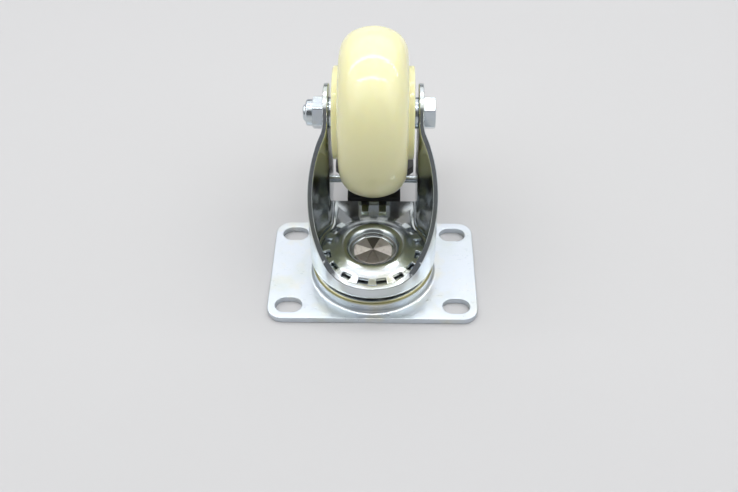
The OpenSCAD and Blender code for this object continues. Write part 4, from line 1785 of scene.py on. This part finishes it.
@dataclass
class WheelSet:
    """The moulded wheel and its two ball bearings."""

    finishes: Finishes
    radius: float = 37.5
    tread_w: float = 30
    crown_r: float = 20
    shoulder_r: float = 11
    hub_r: float = 20.5
    hub_w: float = 35.6
    hub_foot_r: float = 0.7
    hub_edge_r: float = 0.6
    web_in: float = 13.5
    web_out: float = 17.5
    web_depth: float = 3
    web_edge_r: float = 0.5
    seat_r: float = 11.02
    seat_x: float = 10.5
    seat_edge_r: float = 0.3
    bore_r: float = 6.9
    bearing_mid: float = 14
    ball_row_r: float = 7.825
    ball_r: float = 1.975
    balls: int = 7

    def half_profile(self) -> list[Point]:
        """Section of the wheel's right half, from the crown's middle to the bore's middle.

        Returns:
            Points as radius and place along the axle.
        """
        half = self.tread_w / 2
        shoulder_x = half - self.shoulder_r
        crown_z = self.radius - self.crown_r
        shoulder_z = crown_z + math.sqrt((self.crown_r - self.shoulder_r) ** 2 - shoulder_x**2)
        meet = math.degrees(math.atan2(shoulder_x, shoulder_z - crown_z))
        face = self.hub_w / 2
        corners = [
            *arc((crown_z, 0), self.crown_r, 0, meet, 16),
            *arc((shoulder_z, shoulder_x), self.shoulder_r, meet, 90, 26)[1:],
            (self.hub_r, half, self.hub_foot_r),
            (self.hub_r, face, self.hub_edge_r),
            (self.web_out, face, self.web_edge_r),
            (self.web_out, face - self.web_depth, self.web_edge_r),
            (self.web_in, face - self.web_depth, self.web_edge_r),
            (self.web_in, face, self.web_edge_r),
            (self.seat_r, face, self.seat_edge_r),
            (self.seat_r, self.seat_x),
            (self.bore_r, self.seat_x),
            (self.bore_r, 0),
        ]
        return rounded(corners, closed=False)

    def build(self) -> None:
        """Builds the wheel and the bearings' balls, and dresses the rings."""
        half = self.half_profile()
        profile = half + [(r, -x) for r, x in reversed(half)][1:-1]
        obj = turned("wheel_moulded", profile, Axis.AXLE, segments=256)
        kept(shaded(obj), self.finishes.cream, Body.WHEEL, Slot.CREAM, "wheel")
        for side, body in ((Side.LEFT, Body.LEFT_ROW), (Side.RIGHT, Body.RIGHT_ROW)):
            name = side.name.lower()
            ring = f"bearing_ball_ring_{name}"
            row = ball_ring(ring, self.balls, self.ball_row_r, self.ball_r, self.finishes.ball)
            middle = Matrix.Translation((0, 0, side.value * self.bearing_mid))
            placed(row, Axis.AXLE.matrix() @ middle @ Matrix.Rotation(math.radians(-90), 4, "Z"))
            kept(row, self.finishes.ball, body, Slot.BRIGHT, f"bearing_balls_{name}")
            for piece in ("inner", "outer", "cage"):
                dress(f"bearing_{piece}_{name}", self.finishes.bright)
            dress(f"bearing_shields_{name}", self.finishes.fastener_zinc)


@dataclass
class Brake:
    """Brake pin, pedal, lock plate, shoe and rivets."""

    finishes: Finishes
    pin_r: float = 1.8
    head_r: float = 3.4
    head_h: float = 1.3
    head_edge_r: float = 0.58
    deck_slope: float = 8
    deck_t: float = 4
    hub_r: float = 4.5
    lock_t: float = 2.4
    shoe_t: float = 1.8
    rivets: tuple[float, float] = (7.7, 23.8)
    rivet_r: float = 1.3
    rivet_head_r: float = 2.2
    rivet_head_h: float = 1.1
    rivet_edge_r: float = 0.49
    moulded_edge: float = 0.15
    pressed_edge: float = 0.2

    def pin(self) -> None:
        """Builds the cross pin with a domed head at each end."""
        top = ARM_OUT + self.head_h
        corners = [
            (self.pin_r, 0),
            (self.pin_r, ARM_OUT),
            (self.head_r, ARM_OUT),
            (self.head_r, top, self.head_edge_r),
            (AXIS_R, top),
        ]
        half = rounded(corners, closed=False)
        profile = [(r, -x) for r, x in reversed(half)] + half[1:]
        obj = turned("brake_pin_headed", profile, Axis.PIN, segments=64)
        kept(shaded(obj), self.finishes.fastener_zinc, Body.FORK, Slot.ZINC, "brake_pin")

    def rivet_row(self) -> None:
        """Builds the two rivets through lock plate, deck and shoe."""
        low, high = -self.lock_t, self.deck_t + self.shoe_t + 2 * SEAT
        under, over = low - self.rivet_head_h, high + self.rivet_head_h
        corners = [
            (AXIS_R, under),
            (self.rivet_head_r, under, self.rivet_edge_r),
            (self.rivet_head_r, low),
            (self.rivet_r, low),
            (self.rivet_r, high),
            (self.rivet_head_r, high),
            (self.rivet_head_r, over, self.rivet_edge_r),
            (AXIS_R, over),
        ]
        template = turned("rivet", rounded(corners, closed=False), Axis.SWIVEL, segments=48)
        first, second = self.rivets
        step = (0, (second - first) * MM, 0)
        finish = self.finishes.bright
        sizes = {"Piece": template, "Copies": len(self.rivets), "Step": step, "Finish": finish}
        row = grown("brake_rivet_pair", row_of_copies(), sizes)
        bpy.data.objects.remove(template)
        foot = Axis.PIN.origin() - Vector((0, 0, self.hub_r))
        deck = Matrix.Translation(foot) @ Matrix.Rotation(math.radians(self.deck_slope), 4, "X")
        placed(row, deck @ Matrix.Translation((0, first, 0)))
        kept(shaded(row), finish, Body.BRAKE, Slot.BRIGHT, "brake_rivets")

    def build(self) -> None:
        """Builds the brake."""
        self.pin()
        self.rivet_row()
        for node, name, edge, angle, finish, slot in (
            ("brake_pedal", "pedal_moulded", self.moulded_edge, 35, self.finishes.black, Slot.BLACK),
            ("lock_plate", "lock_plate_pressed", self.pressed_edge, 35, self.finishes.zinc, Slot.ZINC),
            ("brake_shoe", "brake_shoe_pressed", self.pressed_edge, 50, self.finishes.zinc, Slot.ZINC),
        ):
            piece = softened(from_node(node, name), edge, angle=angle)
            kept(shaded(piece), finish, Body.BRAKE, slot, node)


@dataclass
class Studio:
    """Pale floor, soft lights and the camera at the photograph's viewing angle."""

    floor_colour: str = "#c2c2c3"
    floor_rough: float = 0.75
    floor_half: float = 4000
    floor_fade: Point = (450, 1600)
    surround_colour: str = "#cccccf"
    world_colour: str = "#e4e6ea"
    world_strength: float = 0.16
    wall_fade: Point = (6, 14)
    target: tuple[float, float, float] = (0, 15, 45)
    image_w: int = 738
    focal_px: float = 940
    sensor: float = 36
    clip: Point = (10, 20000)
    eye: tuple[float, float, float] = (7.0, -304.0, 316.3)
    pitch: float = 44.493
    yaw: float = -1.656
    roll: float = -0.66

    def floor(self) -> None:
        """Builds the floor that the plate stands on."""
        half = self.floor_half
        corners = [(x * half, y * half, -SEAT) for x, y in ((-1, -1), (1, -1), (1, 1), (-1, 1))]
        obj = mesh_object("floor", corners, [(0, 1, 2, 3)])
        # Matt paint: an even pale grey that takes a soft shadow
        material, tree, place = new_surface("matt_studio_floor")
        looks = {"Base Color": linear(self.floor_colour), "Roughness": self.floor_rough}
        skin = add(tree, "ShaderNodeBsdfPrincipled", looks)
        pale = add(tree, "ShaderNodeEmission", {"Color": linear(self.surround_colour)})
        distance = add(tree, "ShaderNodeVectorMath", {0: place}, operation="LENGTH").outputs["Value"]
        near, far = (MM * d for d in self.floor_fade)
        surface = self.surrounded(tree, skin, pale, {0: distance, 1: near, 2: far, 3: 0.0, 4: 1.0})
        add(tree, "ShaderNodeOutputMaterial", {"Surface": surface})
        obj.data.materials.append(material)

    def surrounded(self, tree: NodeTree, plain: Node, pale: Node, fade: dict[int, object]) -> NodeSocket:
        """Fades a shader into the pale surround.

        Only the camera, metal and glass see the surround, so that it adds no light.

        Args:
            tree: Tree of the floor or the world.
            plain: Shader near the castor.
            pale: Shader of the surround.
            fade: What the fade follows, and the surround's share at both of its ends.

        Returns:
            The mixed shader.
        """
        share = add(tree, RANGE, fade, interpolation_type="SMOOTHSTEP").outputs[0]
        path = add(tree, "ShaderNodeLightPath").outputs
        seen = path["Is Camera Ray"]
        for ray in ("Is Glossy Ray", "Is Transmission Ray"):
            either = {0: seen, 1: path[ray]}
            seen = add(tree, "ShaderNodeMath", either, operation="ADD", use_clamp=True).outputs[0]
        share = add(tree, "ShaderNodeMath", {0: share, 1: seen}, operation="MULTIPLY").outputs[0]
        ends = {0: share, 1: plain.outputs[0], 2: pale.outputs[0]}
        return add(tree, "ShaderNodeMixShader", ends).outputs[0]

    def world(self) -> None:
        """Sets an even, dim world whose low part is the pale surround."""
        world = bpy.data.worlds.new("studio")
        bpy.context.scene.world = world
        world.use_nodes = True
        tree = world.node_tree
        tree.nodes.clear()
        even = {"Color": linear(self.world_colour), "Strength": self.world_strength}
        sky = add(tree, "ShaderNodeBackground", even)
        pale = add(tree, "ShaderNodeBackground", {"Color": linear(self.surround_colour), "Strength": 1.0})
        coords = add(tree, "ShaderNodeTexCoord").outputs["Generated"]
        height = add(tree, "ShaderNodeSeparateXYZ", {0: coords}).outputs["Z"]
        low, high = (math.sin(math.radians(a)) for a in self.wall_fade)
        surface = self.surrounded(tree, sky, pale, {0: height, 1: low, 2: high, 3: 1.0, 4: 0.0})
        add(tree, "ShaderNodeOutputWorld", {"Surface": surface})

    def lamps(self) -> None:
        """Hangs soft boxes that face the castor: place and size in millimetres, power in watts."""
        for name, place, width, height, watts in (
            ("rear_tube", (0, 430, 1000), 3000, 70, 6),
            ("front_tube", (0, -110, 1000), 1200, 55, 2.4),
            ("ceiling", (0, 0, 1300), 2400, 1600, 13),
            ("back_wall", (0, 1100, 1000), 2200, 900, 6.5),
            ("left_fill", (-1000, -250, 900), 1200, 900, 3.5),
            ("right_fill", (1000, -250, 900), 1200, 900, 3.5),
        ):
            data = bpy.data.lights.new(name, "AREA")
            data.shape = "RECTANGLE"
            data.size, data.size_y = width * MM, height * MM
            data.energy = watts
            obj = linked(name, data)
            obj.location = Vector(place) * MM
            ahead = Vector(self.target) * MM - obj.location
            obj.rotation_euler = ahead.to_track_quat("-Z", "Y").to_euler()

    def camera(self) -> None:
        """Sets the camera as it was fitted to the photograph."""
        pitch, yaw, roll = (math.radians(a) for a in (self.pitch, self.yaw, self.roll))
        level = math.cos(pitch)
        ahead = Vector((math.sin(yaw) * level, math.cos(yaw) * level, -math.sin(pitch)))
        right = Vector((math.cos(yaw), -math.sin(yaw), 0))
        up = right.cross(ahead)
        right, up = (
            math.cos(roll) * right + math.sin(roll) * up,
            math.cos(roll) * up - math.sin(roll) * right,
        )
        data = bpy.data.cameras.new("camera")
        data.sensor_width = self.sensor
        data.lens = self.focal_px / self.image_w * self.sensor
        data.clip_start, data.clip_end = (d * MM for d in self.clip)
        obj = linked("camera", data)
        turn = Matrix((right, up, -ahead)).transposed()
        obj.matrix_world = Matrix.Translation(Vector(self.eye) * MM) @ turn.to_4x4()
        bpy.context.scene.camera = obj

    def build(self) -> None:
        """Builds the studio."""
        self.floor()
        self.world()
        self.lamps()
        self.camera()
        bpy.context.scene.view_settings.view_transform = "Standard"


def main() -> None:
    """Builds the castor's pieces in order and sets the studio round them."""
    logging.basicConfig(level=logging.INFO, format="%(name)s: %(message)s")
    Studio().build()
    finishes = Finishes.build()
    for assembly in (TopPlate, SwivelHead, Fork, AxleSet, WheelSet, Brake):
        assembly(finishes).build()


if __name__ == "__main__":
    main()
